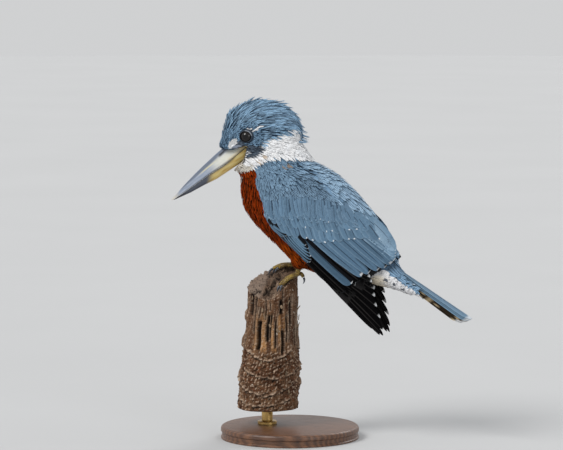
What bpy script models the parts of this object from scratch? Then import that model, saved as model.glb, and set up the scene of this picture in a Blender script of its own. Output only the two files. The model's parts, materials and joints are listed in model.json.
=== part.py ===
"""Ringed kingfisher, perched on a broken upright stem: a still, life-size museum model.

The bird faces -X, its left side is -Y and +Z is up.  The origin is the middle of the
underside of the round display base.  The bird is first built straight, with its plane of
symmetry on y = 0, and then its head is turned a little to its left.
Lengths in the tables below are millimetres; MM turns them into metres.
"""

import math

import bmesh
import bpy
import numpy as np
from mathutils import Matrix, Vector

MM = 0.001
GAP = 0.0003                     # clearance between neighbouring solids
ROOM = 0.0004                    # clearance left in the stem round the toes and claws
BIRD = "ringed_kingfisher"

# ---- body: outline stations from the bill's base, over the head and down to the tail coverts
# throat/belly x, z    crown/back x, z    half width    squareness    narrowing at the top
BODY_STATIONS = (
    (-62.0, 263.6, -70.2, 285.5, 5.0, 2.1, 0.00),
    (-60.0, 262.6, -70.8, 297.0, 10.5, 2.1, 0.00),
    (-57.0, 261.2, -67.0, 309.0, 12.8, 2.1, 0.05),
    (-54.5, 260.2, -59.0, 321.5, 14.8, 2.1, 0.12),
    (-53.0, 259.6, -46.0, 328.8, 17.0, 2.1, 0.17),
    (-52.0, 259.0, -31.0, 333.0, 18.5, 2.1, 0.20),
    (-51.5, 258.2, -12.0, 330.5, 19.5, 2.1, 0.20),
    (-51.5, 257.0, 4.0, 319.5, 20.5, 2.1, 0.17),
    (-51.5, 255.5, 14.5, 300.5, 22.0, 2.1, 0.12),
    (-52.0, 252.0, 18.0, 285.0, 24.5, 2.1, 0.06),
    (-52.2, 248.0, 24.0, 273.5, 27.5, 2.1, 0.00),
    (-51.5, 238.0, 40.0, 266.5, 32.0, 2.1, 0.00),
    (-46.0, 225.5, 56.0, 255.5, 35.0, 2.1, 0.00),
    (-36.5, 212.0, 70.5, 241.0, 36.0, 2.1, 0.00),
    (-23.5, 199.5, 84.0, 226.0, 35.5, 2.1, 0.00),
    (-10.5, 187.5, 96.0, 209.5, 33.0, 2.1, 0.00),
    (1.0, 176.5, 103.5, 194.5, 29.5, 2.1, 0.00),
    (18.0, 167.0, 107.5, 181.5, 25.0, 2.1, 0.00),
    (40.0, 161.0, 112.5, 172.5, 21.0, 2.1, 0.00),
    (66.0, 157.5, 119.5, 165.5, 17.5, 2.1, 0.00),
    (90.0, 153.8, 126.0, 161.2, 15.2, 2.1, 0.00),
    (112.0, 149.0, 132.5, 157.6, 14.0, 2.3, 0.00),
    (125.5, 144.6, 138.5, 153.8, 13.6, 2.6, 0.00),
)
RING_SIDES = 24
# node name, first and last station, rings
BODY_NODES = (
    ("head", 0.0, 7.9, 14),
    ("neck", 7.9, 10.0, 5),
    ("trunk", 10.0, 17.6, 13),
    ("rump", 17.6, 22.0, 9),
)

# ---- turn of the head to the bird's left, about an upright axis through the neck
HEAD_TURN = math.radians(12.0)
TURN_AXIS_X = -12.0
TURN_PLANE = (-0.55, 0.83, 255.0)   # x and z weights, height where the plane crosses x = 0
TURN_START = 13.0
TURN_END = 34.0

# ---- bill: distances along it from the tip, and heights square to it
BILL_TIP = (-117.6, 233.0)
BILL_PITCH = math.atan2(0.6, 0.8)
CULMEN = ((0.0, 0.3), (8.0, 2.0), (19.5, 4.4), (34.0, 6.8), (47.0, 8.5), (60.0, 9.9),
          (70.0, 10.7), (94.0, 12.6))
TOMIUM = ((0.0, -0.7), (20.0, -1.6), (49.0, -2.4), (63.0, -3.3), (73.0, -3.6), (83.0, -3.3),
          (94.0, -3.0))
GONYS = ((1.5, -1.3), (10.0, -3.2), (20.0, -5.4), (36.0, -7.6), (48.0, -9.9), (60.0, -10.6),
         (81.0, -11.7), (94.0, -11.7))
BILL_HALF_WIDTH = ((0.0, 0.5), (8.0, 1.5), (20.0, 3.1), (34.0, 4.7), (48.0, 6.3), (60.0, 7.9),
                   (70.0, 9.3), (80.0, 10.9), (94.0, 12.6))
BILL_LENGTH = 91.6
LORE_LINE = ((40.0, 14.0), (70.4, 11.1), (78.0, 4.6), (87.7, -0.7), (95.0, -2.8))
CHIN_LINE = ((95.0, -2.8), (81.0, -12.2), (62.0, -11.4), (40.0, -14.0))

# ---- eyes
EYE_CENTRE = (-41.2, 14.7, 296.9)
EYE_RADIUS = 6.6

# ---- folded wing: upper and lower edge, then how far its middle stands off the mid plane
# upper x, z    lower x, z    outer y at the upper edge, middle and lower edge
WING_STATIONS = (
    (-21.0, 262.0, -31.0, 250.0, 23.0, 27.0, 26.0),
    (-3.0, 266.0, -22.5, 238.0, 23.0, 32.5, 31.0),
    (18.0, 263.0, -16.5, 222.0, 20.0, 36.5, 34.0),
    (38.0, 255.0, -9.0, 208.5, 18.0, 39.0, 35.0),
    (57.0, 242.0, 5.0, 197.0, 16.0, 39.8, 35.0),
    (75.0, 225.5, 20.5, 181.0, 14.0, 39.0, 34.0),
    (90.5, 208.0, 34.5, 165.5, 12.0, 36.0, 31.5),
    (103.0, 192.5, 48.0, 153.5, 10.0, 31.0, 28.5),
    (114.0, 181.5, 61.0, 145.0, 8.5, 25.0, 26.5),
)
WING_TIP_STATIONS = (
    (88.9, 163.0, 61.3, 144.4, 22.5, 25.0, 25.0),
    (90.5, 151.0, 72.0, 132.0, 19.5, 21.5, 21.0),
    (97.5, 134.0, 85.0, 118.5, 16.0, 17.5, 17.0),
    (102.0, 111.0, 96.5, 106.5, 13.4, 13.8, 13.4),
)
WING_LIFT = 1.6                  # least height of the wing's surface over the body
WING_BULGE = 2.6                 # more of it towards the middle
WING_THICK = 2.6
WING_DEPTH_MAX = 9.0
WING_ACROSS = 9                  # points from the upper to the lower edge

# ---- tail: top line, half width and thickness from root to tip
# x, z    half width    thickness
TAIL_STATIONS = (
    (117.0, 163.8, 9.0, 7.0),
    (131.0, 156.0, 12.0, 6.6),
    (147.0, 145.6, 14.0, 5.6),
    (163.0, 134.8, 15.2, 4.8),
    (176.0, 125.6, 15.8, 4.2),
    (181.5, 121.6, 12.5, 3.6),
)
TAIL_DROOP = 2.6                 # fall of the tail's edges below its middle line

# ---- legs and feet.  Forward is towards the claws, side is towards -Y.
THIGH_RADII = (10.5, 6.5, 11.5)
THIGHS = {"left": (15.0, -14.0, 178.5), "right": (9.0, 14.0, 180.5)}
THIGH_LEAN = math.radians(24.0)
# pad centre, heel joint, heading from -X towards -Y, downward pitch
FEET = {
    "left": ((9.0, -7.6, 162.3), (14.5, -11.0, 171.5), math.radians(20.0), math.radians(31.0)),
    "right": ((-1.0, 9.0, 169.6), (6.5, 11.5, 176.5), math.radians(2.0), math.radians(9.0)),
}
PAD_RADII = (4.2, 3.9, 2.7)
# name, root offset, knuckle, end (forward, to the bird's own outer side, up), root and end radius
TOES = (
    ("outer", (1.0, 1.9, 0.0), (9.0, 3.6, 1.0), (16.8, 4.6, -1.3), 2.3, 1.6),
    ("middle", (1.0, -0.9, 0.2), (10.5, 0.0, 1.2), (19.4, 0.7, -1.1), 2.4, 1.7),
    ("inner", (0.5, -2.6, 0.0), (6.0, -4.2, 0.8), (11.8, -5.4, -0.8), 2.0, 1.5),
    ("hind", (-1.0, 0.2, 0.0), (-4.4, 0.0, -2.2), (-4.4, 0.0, -6.0), 2.3, 1.6),
)
CLAW_LENGTH = {"outer": 7.6, "middle": 8.6, "inner": 6.4, "hind": 6.6}
CLAW_RADIUS = 1.25
CLAW_CURL = {"outer": 62.0, "middle": 62.0, "inner": 62.0, "hind": -75.0}   # degrees
TARSUS_RADIUS = 2.6

# ---- perch: a cut length of dead palm-like stem with a slanting broken top
# height, centre x, radius
STEM_STATIONS = (
    (28.0, -23.6, 29.8),
    (60.0, -21.6, 28.6),
    (95.0, -19.4, 26.6),
    (130.0, -17.2, 24.6),
    (170.0, -16.8, 24.2),
)
STEM_SIDES = 24
STEM_RINGS = 14
STEM_SCARS = (42.0, 57.0, 72.0, 90.0)   # heights of the raised leaf-scar rings
SCAR_HEIGHT = 0.9
SCAR_WIDTH = 3.0
BREAK_LEVEL = 155.0              # height of the break over the origin
BREAK_SLOPE_X = 0.12
BREAK_SLOPE_Y = 0.42
# x, y, height and reach of the knobs under the feet, and of the notch in the near rim
BREAK_KNOBS = ((4.0, -6.0, 6.0, 9.0), (-9.0, 13.0, 7.0, 8.0), (-14.0, -24.0, -6.5, 8.0))

# ---- stand
BASE_RADIUS = 0.068
BASE_HEIGHT = 0.012
BASE_CENTRE_X = 0.0
BASE_EDGE = 0.0022
ROD_X = -23.6
ROD_RADIUS = 0.0055
ROD_COLLAR_RADIUS = 0.0095
ROD_COLLAR_HEIGHT = 0.0030

COLOURS = {
    "slate_blue": (0.165, 0.265, 0.370, 1.0),
    "white": (0.75, 0.76, 0.78, 1.0),
    "rufous": (0.25, 0.045, 0.012, 1.0),
    "black": (0.020, 0.021, 0.026, 1.0),
    "bill_grey": (0.40, 0.48, 0.58, 1.0),
    "bill_yellow": (0.42, 0.31, 0.10, 1.0),
    "eye": (0.012, 0.008, 0.006, 1.0),
    "ochre": (0.20, 0.12, 0.035, 1.0),
    "claw": (0.045, 0.050, 0.060, 1.0),
    "stem": (0.155, 0.105, 0.070, 1.0),
    "brass": (0.70, 0.48, 0.20, 1.0),
    "walnut": (0.090, 0.050, 0.028, 1.0),
}


# ---------------------------------------------------------------- scene and materials

def clear_scene():
    """Remove every object that the file opened with."""
    for old in list(bpy.data.objects):
        bpy.data.objects.remove(old, do_unlink=True)


def make_collection(name):
    """Return a new collection linked to the scene."""
    made = bpy.data.collections.new(name)
    bpy.context.scene.collection.children.link(made)
    return made


def make_material(name, roughness=0.6, metallic=0.0):
    """Return a Principled BSDF material with one of the COLOURS."""
    made = bpy.data.materials.new(name)
    made.use_nodes = True
    shader = made.node_tree.nodes["Principled BSDF"]
    shader.inputs["Base Color"].default_value = COLOURS[name]
    shader.inputs["Roughness"].default_value = roughness
    shader.inputs["Metallic"].default_value = metallic
    made.diffuse_color = COLOURS[name]
    return made


# ---------------------------------------------------------------- small geometry helpers

def spline(table, at):
    """Rows of a table of stations at the fractional places `at` (Catmull-Rom)."""
    rows = np.asarray(table, float)
    at = np.atleast_1d(np.asarray(at, float))
    padded = np.vstack([2 * rows[0] - rows[1], rows, 2 * rows[-1] - rows[-2]])
    i = np.clip(np.floor(at).astype(int), 0, len(rows) - 2)
    t = (at - i)[:, None]
    p0, p1, p2, p3 = padded[i], padded[i + 1], padded[i + 2], padded[i + 3]
    return 0.5 * (2 * p1 + (p2 - p0) * t + (2 * p0 - 5 * p1 + 4 * p2 - p3) * t ** 2
                  + (3 * p1 - p0 - 3 * p2 + p3) * t ** 3)


def along(line, at):
    """Height of a broken line of (place, height) points at `at`."""
    pts = np.asarray(line, float)
    return np.interp(at, pts[:, 0], pts[:, 1])


def smooth_step(low, high, value):
    """0 below low, 1 above high, and an even S between them."""
    t = np.clip((value - low) / (high - low), 0.0, 1.0)
    return t * t * (3.0 - 2.0 * t)


def turn_head(points):
    """Points in metres with those of the head turned to the bird's left."""
    out = np.array(points, float)
    wx, wz, level = TURN_PLANE
    reach = wx * out[:, 0] / MM + wz * (out[:, 2] / MM - level)
    angle = HEAD_TURN * smooth_step(TURN_START, TURN_END, reach)
    dx = out[:, 0] - TURN_AXIS_X * MM
    dy = out[:, 1].copy()
    out[:, 0] = TURN_AXIS_X * MM + np.cos(angle) * dx - np.sin(angle) * dy
    out[:, 1] = np.sin(angle) * dx + np.cos(angle) * dy
    return out


def bill_point(reach, height):
    """x and z in millimetres of a place given along and square to the bill."""
    c, s = math.cos(BILL_PITCH), math.sin(BILL_PITCH)
    return BILL_TIP[0] + c * reach - s * height, BILL_TIP[1] + s * reach + c * height


# ---------------------------------------------------------------- objects from meshes

def link_mesh(name, mesh, collection, material=None, smooth=True):
    """Return a new object in a collection for a mesh."""
    made = bpy.data.objects.new(name, mesh)
    collection.objects.link(made)
    if material is not None:
        mesh.materials.append(material)
    if smooth:
        mesh.shade_smooth()
        mesh.set_sharp_from_angle(angle=math.radians(50.0))
    return made


def mesh_from_bmesh(name, bm):
    """Return a mesh with its faces turned outward, and free the bmesh."""
    bmesh.ops.recalc_face_normals(bm, faces=bm.faces)
    mesh = bpy.data.meshes.new(name)
    bm.to_mesh(mesh)
    bm.free()
    return mesh


def loft_mesh(name, rings):
    """Closed mesh through rings of equal point counts, each end closed by a fan."""
    bm = bmesh.new()
    rows = [[bm.verts.new(p) for p in ring] for ring in rings]
    sides = len(rows[0])
    for a, b in zip(rows, rows[1:]):
        for i in range(sides):
            j = (i + 1) % sides
            bm.faces.new((a[i], a[j], b[j], b[i]))
    for row, ring in ((rows[0], rings[0]), (rows[-1], rings[-1])):
        middle = bm.verts.new(np.mean(ring, axis=0))
        for i in range(sides):
            bm.faces.new((row[i], row[(i + 1) % sides], middle))
    return mesh_from_bmesh(name, bm)


def shell_mesh(name, outer, inner):
    """Closed mesh between two grids of the same size, an outer and an inner face."""
    bm = bmesh.new()
    grids = [[[bm.verts.new(p) for p in row] for row in grid] for grid in (outer, inner)]
    rows, across = len(outer), len(outer[0])
    for grid in grids:
        for r in range(rows - 1):
            for c in range(across - 1):
                bm.faces.new((grid[r][c], grid[r][c + 1], grid[r + 1][c + 1], grid[r + 1][c]))
    out, inn = grids
    for r in range(rows - 1):
        for c in (0, across - 1):
            bm.faces.new((out[r][c], out[r + 1][c], inn[r + 1][c], inn[r][c]))
    for r in (0, rows - 1):
        for c in range(across - 1):
            bm.faces.new((out[r][c], out[r][c + 1], inn[r][c + 1], inn[r][c]))
    return mesh_from_bmesh(name, bm)


def tube_mesh(name, points, radii):
    """Closed round tube of varying radius through a few points, from a bevelled curve."""
    curve = bpy.data.curves.new(name, "CURVE")
    curve.dimensions = "3D"
    curve.bevel_depth = MM
    curve.bevel_resolution = 2
    curve.use_fill_caps = True
    line = curve.splines.new("POLY")
    line.points.add(len(points) - 1)
    for knot, point, radius in zip(line.points, points, radii):
        knot.co = (*point, 1.0)
        knot.radius = radius
    holder = bpy.data.objects.new(name, curve)
    bpy.context.scene.collection.objects.link(holder)
    bpy.context.view_layer.update()
    mesh = bpy.data.meshes.new_from_object(holder.evaluated_get(bpy.context.evaluated_depsgraph_get()))
    bpy.data.objects.remove(holder, do_unlink=True)
    bm = bmesh.new()
    bm.from_mesh(mesh)
    bmesh.ops.remove_doubles(bm, verts=bm.verts, dist=1e-6)
    bpy.data.meshes.remove(mesh)
    return mesh_from_bmesh(name, bm)


def ball_mesh(name, centre, radii, lean=0.0, segments=16, rings=10):
    """Sphere stretched to three radii, leaned about Y and moved to its centre, in metres."""
    bm = bmesh.new()
    bmesh.ops.create_uvsphere(bm, u_segments=segments, v_segments=rings, radius=1.0)
    place = Matrix.Translation(Vector(centre)) @ Matrix.Rotation(lean, 4, "Y")
    bmesh.ops.transform(bm, matrix=place @ Matrix.Diagonal((*radii, 1.0)), verts=bm.verts)
    return mesh_from_bmesh(name, bm)


def make_cutter(name, mesh, cutters, grow=0.0):
    """Return a hidden cutter: a copy of a mesh swollen along its normals."""
    copy = mesh.copy()
    places = [v.co + v.normal * grow for v in copy.vertices]
    for vertex, place in zip(copy.vertices, places):
        vertex.co = place
    copy.materials.clear()
    tool = link_mesh(name, copy, cutters, smooth=False)
    tool.hide_render = True
    tool.display_type = "WIRE"
    return tool


def combine(target, tools, operation="DIFFERENCE"):
    """Cut the tools from a target, or join them to it, and keep the result as its mesh."""
    for tool in tools:
        step = target.modifiers.new(tool.name, "BOOLEAN")
        step.operation = operation
        step.solver = "EXACT"
        step.object = tool
    bpy.context.view_layer.update()
    seen = target.evaluated_get(bpy.context.evaluated_depsgraph_get())
    result = bpy.data.meshes.new_from_object(seen)
    target.modifiers.clear()
    old = target.data
    target.data = result
    bpy.data.meshes.remove(old)
    result.name = target.name


def turn_mesh(mesh):
    """Apply the turn of the head to a mesh."""
    flat = np.empty(len(mesh.vertices) * 3)
    mesh.vertices.foreach_get("co", flat)
    turned = turn_head(flat.reshape(-1, 3))
    mesh.vertices.foreach_set("co", turned.ravel())
    mesh.update()


# ---------------------------------------------------------------- body

def body_ring(at):
    """One ring of the body in metres, at a fractional station."""
    vx, vz, dx, dz, half, square, narrow = spline(BODY_STATIONS, at)[0]
    turn = np.linspace(0.0, 2.0 * math.pi, RING_SIDES, endpoint=False)
    up = np.sign(np.cos(turn)) * np.abs(np.cos(turn)) ** (2.0 / square)
    out = np.sign(np.sin(turn)) * np.abs(np.sin(turn)) ** (2.0 / square)
    x = (vx + dx) / 2 + up * (dx - vx) / 2
    z = (vz + dz) / 2 + up * (dz - vz) / 2
    y = half * out * (1.0 - narrow * up)
    return np.column_stack([x, y, z]) * MM


def body_rings(first, last, count):
    """Rings between two stations."""
    return [body_ring(at) for at in np.linspace(first, last, count)]


def station_shift(at, distance):
    """Change of station that moves the middle of a ring by a distance in metres."""
    low, high = body_ring(at - 0.05).mean(axis=0), body_ring(at + 0.05).mean(axis=0)
    return 0.1 * distance / float(np.linalg.norm(high - low))


def body_half_width(x, z):
    """Half width of the body, in millimetres, at a place in side view; 0 outside it."""
    best = 0.0
    fine = spline(BODY_STATIONS, np.linspace(0.0, len(BODY_STATIONS) - 1.0, 400))
    low, high = fine[:, 0:2], fine[:, 2:4]
    span = high - low
    length = np.linalg.norm(span, axis=1)
    away = np.array([x, z]) - low
    side = (span[:, 0] * away[:, 1] - span[:, 1] * away[:, 0]) / length
    share = (span * away).sum(axis=1) / length ** 2
    for i in np.nonzero(side[:-1] * side[1:] <= 0.0)[0]:
        if 0.0 < share[i] < 1.0:
            up = 2.0 * share[i] - 1.0
            square = fine[i, 5]
            out = (1.0 - abs(up) ** square) ** (1.0 / square)
            best = max(best, fine[i, 4] * out * (1.0 - fine[i, 6] * up))
    return best


def build_body(parts, cutters, materials):
    """Head, neck, trunk and rump, and the swollen whole body as a cutter."""
    last = len(BODY_STATIONS) - 1.0
    whole = loft_mesh("whole_body", body_rings(0.0, last, 42))
    cutter = make_cutter("cut_body", whole, cutters, grow=GAP * 1.25)
    bpy.data.meshes.remove(whole)
    made = {}
    for name, first, final, count in BODY_NODES:
        start = first if first == 0.0 else first + station_shift(first, GAP)
        stop = final if final == last else final - station_shift(final, GAP)
        mesh = loft_mesh(name, body_rings(start, stop, count))
        made[name] = link_mesh(name, mesh, parts, materials[name])
    return made, cutter


# ---------------------------------------------------------------- bill, notch and eyes

def mandible_ring(reach, top, bottom, half, peak, floor, power):
    """Ring of one mandible: flat at the tomium, narrowing to the ridge or keel."""
    steps = np.linspace(0.0, 1.0, 6)
    heights = bottom + (top - bottom) * steps
    share = np.clip((heights - peak) / (floor - peak), 0.0, 1.0)
    widths = np.maximum(half * share ** power, 0.12)
    right = [(reach, w, h) for w, h in zip(widths, heights)]
    left = [(reach, -w, h) for w, h in zip(widths[::-1], heights[::-1])]
    ring = []
    for r, y, h in right + left:
        x, z = bill_point(r, h)
        ring.append((x * MM, y * MM, z * MM))
    return ring


def upper_mandible():
    """Rings of the upper mandible from tip to gape."""
    rings = []
    for reach in (0.2, 4.0, 10.0, 19.0, 30.0, 42.0, 54.0, 64.0, 70.0, 74.0, 79.0, 86.0, BILL_LENGTH):
        peak = along(CULMEN, reach)
        floor = along(TOMIUM, reach) + 0.15
        top = min(peak, along(LORE_LINE, reach) - 0.45) if reach > 69.0 else peak
        top = max(top, floor + 0.35)
        half = along(BILL_HALF_WIDTH, reach)
        rings.append(mandible_ring(reach, top, floor, half, peak, floor, 0.60))
    return rings


def lower_mandible():
    """Rings of the lower mandible from tip to gape."""
    rings = []
    (gape, gape_height), (corner, corner_height) = CHIN_LINE[0], CHIN_LINE[1]
    for reach in (1.8, 6.0, 13.0, 22.0, 32.0, 42.0, 48.0, 55.0, 64.0, 73.0, 80.3, 84.0, 88.0, 91.0):
        keel = along(GONYS, reach)
        floor = along(TOMIUM, reach) - 0.15
        bottom = keel
        if reach > corner - 0.8:
            share = (reach + 0.8 - corner) / (gape - corner)
            bottom = max(keel, corner_height + share * (gape_height - corner_height) + 0.15)
        bottom = min(bottom, floor - 0.35)
        half = along(BILL_HALF_WIDTH, reach) * 0.97
        rings.append(mandible_ring(reach, bottom, floor, half, keel, floor, 0.52))
    return rings


def notch_mesh():
    """Wedge in side view that the bill fills in the front of the head."""
    outline = [bill_point(r, h) for r, h in LORE_LINE + CHIN_LINE[1:]]
    bm = bmesh.new()
    near = [bm.verts.new((x * MM, -0.035, z * MM)) for x, z in outline]
    face = bm.faces.new(near)
    grown = bmesh.ops.extrude_face_region(bm, geom=[face])
    moved = [g for g in grown["geom"] if isinstance(g, bmesh.types.BMVert)]
    bmesh.ops.translate(bm, vec=(0.0, 0.07, 0.0), verts=moved)
    return mesh_from_bmesh("notch", bm)


def build_bill(parts, materials):
    """The two closed mandibles."""
    upper = loft_mesh("bill_upper", upper_mandible())
    lower = loft_mesh("bill_lower", lower_mandible())
    link_mesh("bill_upper", upper, parts, materials["bill_upper"])
    link_mesh("bill_lower", lower, parts, materials["bill_lower"])


def build_eyes(parts, cutters, materials):
    """Two eyeballs, and a cutter for the socket of each."""
    tools = []
    x, y, z = EYE_CENTRE
    for name, side in (("eye_left", -1.0), ("eye_right", 1.0)):
        centre = (x * MM, side * y * MM, z * MM)
        ball = ball_mesh(name, centre, (EYE_RADIUS * MM,) * 3, segments=14, rings=9)
        tools.append(make_cutter("cut_" + name, ball, cutters, grow=GAP * 1.1))
        link_mesh(name, ball, parts, materials[name])
    return tools


# ---------------------------------------------------------------- wings and tail

def wing_grids(stations, rows, on_body):
    """Outer and inner grids of the left wing or wing tip, in metres."""
    outer, inner = [], []
    for row in spline(stations, np.linspace(0.0, len(stations) - 1.0, rows)):
        ux, uz, lx, lz, y_up, y_mid, y_low = row
        out_row, in_row = [], []
        for v in np.linspace(0.0, 1.0, WING_ACROSS):
            x, z = ux + (lx - ux) * v, uz + (lz - uz) * v
            free = (y_up * (1 - v) * (1 - 2 * v) + 4 * y_mid * v * (1 - v)
                    + y_low * v * (2 * v - 1))
            body = body_half_width(x, z) if on_body else 0.0
            lift = WING_LIFT + WING_BULGE * math.sin(math.pi * v)
            y = max(free, body + lift) if body > 0.0 else free
            depth = min(max(WING_THICK, y - body + 1.6), WING_DEPTH_MAX) if body > 0.0 else WING_THICK
            out_row.append((x * MM, -y * MM, z * MM))
            in_row.append((x * MM, -(y - depth) * MM, z * MM))
        outer.append(out_row)
        inner.append(in_row)
    return outer, inner


def mirrored(mesh, name):
    """Copy of a mesh mirrored across the mid plane, facing out."""
    bm = bmesh.new()
    bm.from_mesh(mesh)
    bmesh.ops.scale(bm, vec=(1.0, -1.0, 1.0), verts=bm.verts)
    return mesh_from_bmesh(name, bm)


def build_wings(parts, body_cutter, materials):
    """Both folded wings and both wing tips, trimmed where they lie on the body."""
    sets = (("wing", WING_STATIONS, 14, True), ("wing_tip", WING_TIP_STATIONS, 7, False))
    for stem, stations, rows, on_body in sets:
        outer, inner = wing_grids(stations, rows, on_body)
        left = shell_mesh(stem + "_left", outer, inner)
        right = mirrored(left, stem + "_right")
        for mesh in (left, right):
            node = link_mesh(mesh.name, mesh, parts, materials[stem])
            combine(node, [body_cutter])


def build_tail(parts, body_cutter, materials):
    """The folded tail: a slightly roofed wedge of feathers."""
    rows = spline(TAIL_STATIONS, np.linspace(0.0, len(TAIL_STATIONS) - 1.0, 9))
    first, last = rows[0], rows[-1]
    fall = math.atan2(first[1] - last[1], last[0] - first[0])
    top, under = [], []
    for x, z, half, thick in rows:
        top_row, under_row = [], []
        for v in np.linspace(-1.0, 1.0, 7):
            drop = TAIL_DROOP * v * v
            for row, depth in ((top_row, drop), (under_row, drop + thick)):
                row.append(((x - math.sin(fall) * depth) * MM, v * half * MM,
                            (z - math.cos(fall) * depth) * MM))
        top.append(top_row)
        under.append(under_row)
    node = link_mesh("tail", shell_mesh("tail", top, under), parts, materials["tail"])
    combine(node, [body_cutter])


# ---------------------------------------------------------------- legs

def foot_frame(pad, heading, pitch):
    """Matrix from a foot's forward, side and up (millimetres) to metres in the model."""
    forward = Vector((-math.cos(heading) * math.cos(pitch), -math.sin(heading) * math.cos(pitch),
                      -math.sin(pitch)))
    side = Vector((math.sin(heading), -math.cos(heading), 0.0))
    up = side.cross(forward)
    if up.z < 0.0:
        up.negate()
    frame = Matrix((forward, side, up)).transposed().to_4x4()
    return Matrix.Translation(Vector(pad) * MM) @ frame @ Matrix.Scale(MM, 4)


def claw_points(frame, end, knuckle, length, curl):
    """Centre line of a claw that curls on from the end of a toe."""
    start = Vector(end)
    run = (start - Vector(knuckle)).normalized()
    points = []
    place = start + run * (GAP / MM + 0.25)
    steps = 5
    for step in range(steps + 1):
        points.append(frame @ place)
        bend = curl * (step + 0.5) / steps
        heading = Vector((abs(run.x) + 0.01, run.y, 0.0)).normalized()
        level = math.atan2(run.z, math.hypot(run.x, run.y)) - bend
        ahead = Vector((heading.x * math.cos(level), heading.y * math.cos(level), math.sin(level)))
        place = place + ahead * (length / steps)
    return points


def build_foot(side, parts, cutters, materials):
    """One foot with its tarsus, its four claws, and the room that each needs in the stem."""
    pad, heel, heading, pitch = FEET[side]
    frame = foot_frame(pad, heading, pitch)
    hand = 1.0 if side == "left" else -1.0
    name = "foot_" + side
    pad_mesh = ball_mesh(name, (0.0, 0.0, 0.0), PAD_RADII, segments=12, rings=8)
    pad_mesh.transform(frame)
    foot = link_mesh(name, pad_mesh, parts, materials["foot"])
    joins = []
    rooms = [make_cutter("room_pad_" + side, pad_mesh, cutters, grow=ROOM)]
    heel_point = Vector(heel) * MM
    tarsus = tube_mesh("tarsus", [frame @ Vector((-0.5, 0.0, 0.0)), (frame.translation + heel_point) / 2,
                                  heel_point],
                       (TARSUS_RADIUS, TARSUS_RADIUS * 0.86, TARSUS_RADIUS * 1.1))
    joins.append(make_cutter("join_tarsus_" + side, tarsus, cutters))
    for toe, root, knuckle, end, r_root, r_end in TOES:
        path = [Vector((p[0], p[1] * hand, p[2])) for p in (root, knuckle, end)]
        fine = spline([tuple(p) for p in path], np.linspace(0.0, 2.0, 5))
        radii = np.linspace(r_root, r_end, 5)
        mesh = tube_mesh(toe, [frame @ Vector(p) for p in fine], radii)
        joins.append(make_cutter("join_" + toe + "_" + side, mesh, cutters))
        rooms.append(make_cutter("room_" + toe + "_" + side, mesh, cutters, grow=ROOM))
        line = claw_points(frame, path[2], path[1], CLAW_LENGTH[toe],
                           math.radians(CLAW_CURL[toe]))
        taper = [CLAW_RADIUS * (1.0 - (k / 5.0) ** 1.6 * 0.82) for k in range(6)]
        claw = tube_mesh("claw_" + toe + "_" + side, line, taper)
        rooms.append(make_cutter("room_" + claw.name, claw, cutters, grow=ROOM))
        link_mesh(claw.name, claw, parts, materials["claw"])
    combine(foot, joins, "UNION")
    return foot, rooms


def build_legs(parts, cutters, body_cutter, materials):
    """Feathered thighs, feet and claws; returns the cutters that make room for them."""
    rooms = []
    for side in ("left", "right"):
        foot, room = build_foot(side, parts, cutters, materials)
        centre = Vector(THIGHS[side]) * MM
        thigh = ball_mesh("thigh_" + side, centre, [r * MM for r in THIGH_RADII], THIGH_LEAN, 14, 9)
        grown = make_cutter("cut_thigh_" + side, thigh, cutters, grow=GAP * 1.3)
        node = link_mesh("thigh_" + side, thigh, parts, materials["thigh"])
        combine(node, [body_cutter])
        combine(foot, [grown, body_cutter])
        rooms += room
    return rooms


# ---------------------------------------------------------------- perch and stand

def stem_radius(height, turn):
    """Radius of the stem in millimetres: slightly uneven, with raised scar rings."""
    heights = [row[0] for row in STEM_STATIONS]
    radius = np.interp(height, heights, [row[2] for row in STEM_STATIONS])
    uneven = 0.7 * math.sin(3 * turn + height * 0.02) + 0.4 * math.sin(7 * turn + 1.3 + height * 0.05)
    rings = sum(SCAR_HEIGHT * math.exp(-((height - scar) / SCAR_WIDTH) ** 2) for scar in STEM_SCARS)
    return radius + uneven + rings


def break_height(x, y):
    """Height in millimetres of the slanting broken top over a place."""
    height = BREAK_LEVEL + BREAK_SLOPE_X * x + BREAK_SLOPE_Y * y
    for knob_x, knob_y, rise, reach in BREAK_KNOBS:
        height += rise * math.exp(-((x - knob_x) ** 2 + (y - knob_y) ** 2) / (2.0 * reach ** 2))
    return height + 0.9 * math.sin(0.45 * x + 0.8) * math.cos(0.38 * y)


def build_stem(parts, rooms, materials):
    """The cut length of stem, with room left for the feet that grip it."""
    bottom = STEM_STATIONS[0][0]
    heights = [row[0] for row in STEM_STATIONS]
    middles = [row[1] for row in STEM_STATIONS]
    rings = []
    for level in np.linspace(0.0, 1.0, STEM_RINGS):
        ring = []
        for k in range(STEM_SIDES):
            turn = 2.0 * math.pi * k / STEM_SIDES
            top_x = middles[-1] + stem_radius(150.0, turn) * math.cos(turn)
            top_y = stem_radius(150.0, turn) * math.sin(turn)
            height = bottom + level * (break_height(top_x, top_y) - bottom)
            middle = np.interp(height, heights, middles)
            radius = stem_radius(height, turn)
            ring.append(((middle + radius * math.cos(turn)) * MM, radius * math.sin(turn) * MM,
                         height * MM))
        rings.append(ring)
    for share in (0.72, 0.42, 0.18):
        ring = []
        for x, y, _ in rings[STEM_RINGS - 1]:
            px = middles[-1] + (x / MM - middles[-1]) * share
            py = y / MM * share
            ring.append((px * MM, py * MM, break_height(px, py) * MM))
        rings.append(ring)
    stem = link_mesh("perch_stem", loft_mesh("perch_stem", rings), parts, materials["stem"])
    combine(stem, rooms)


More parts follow.
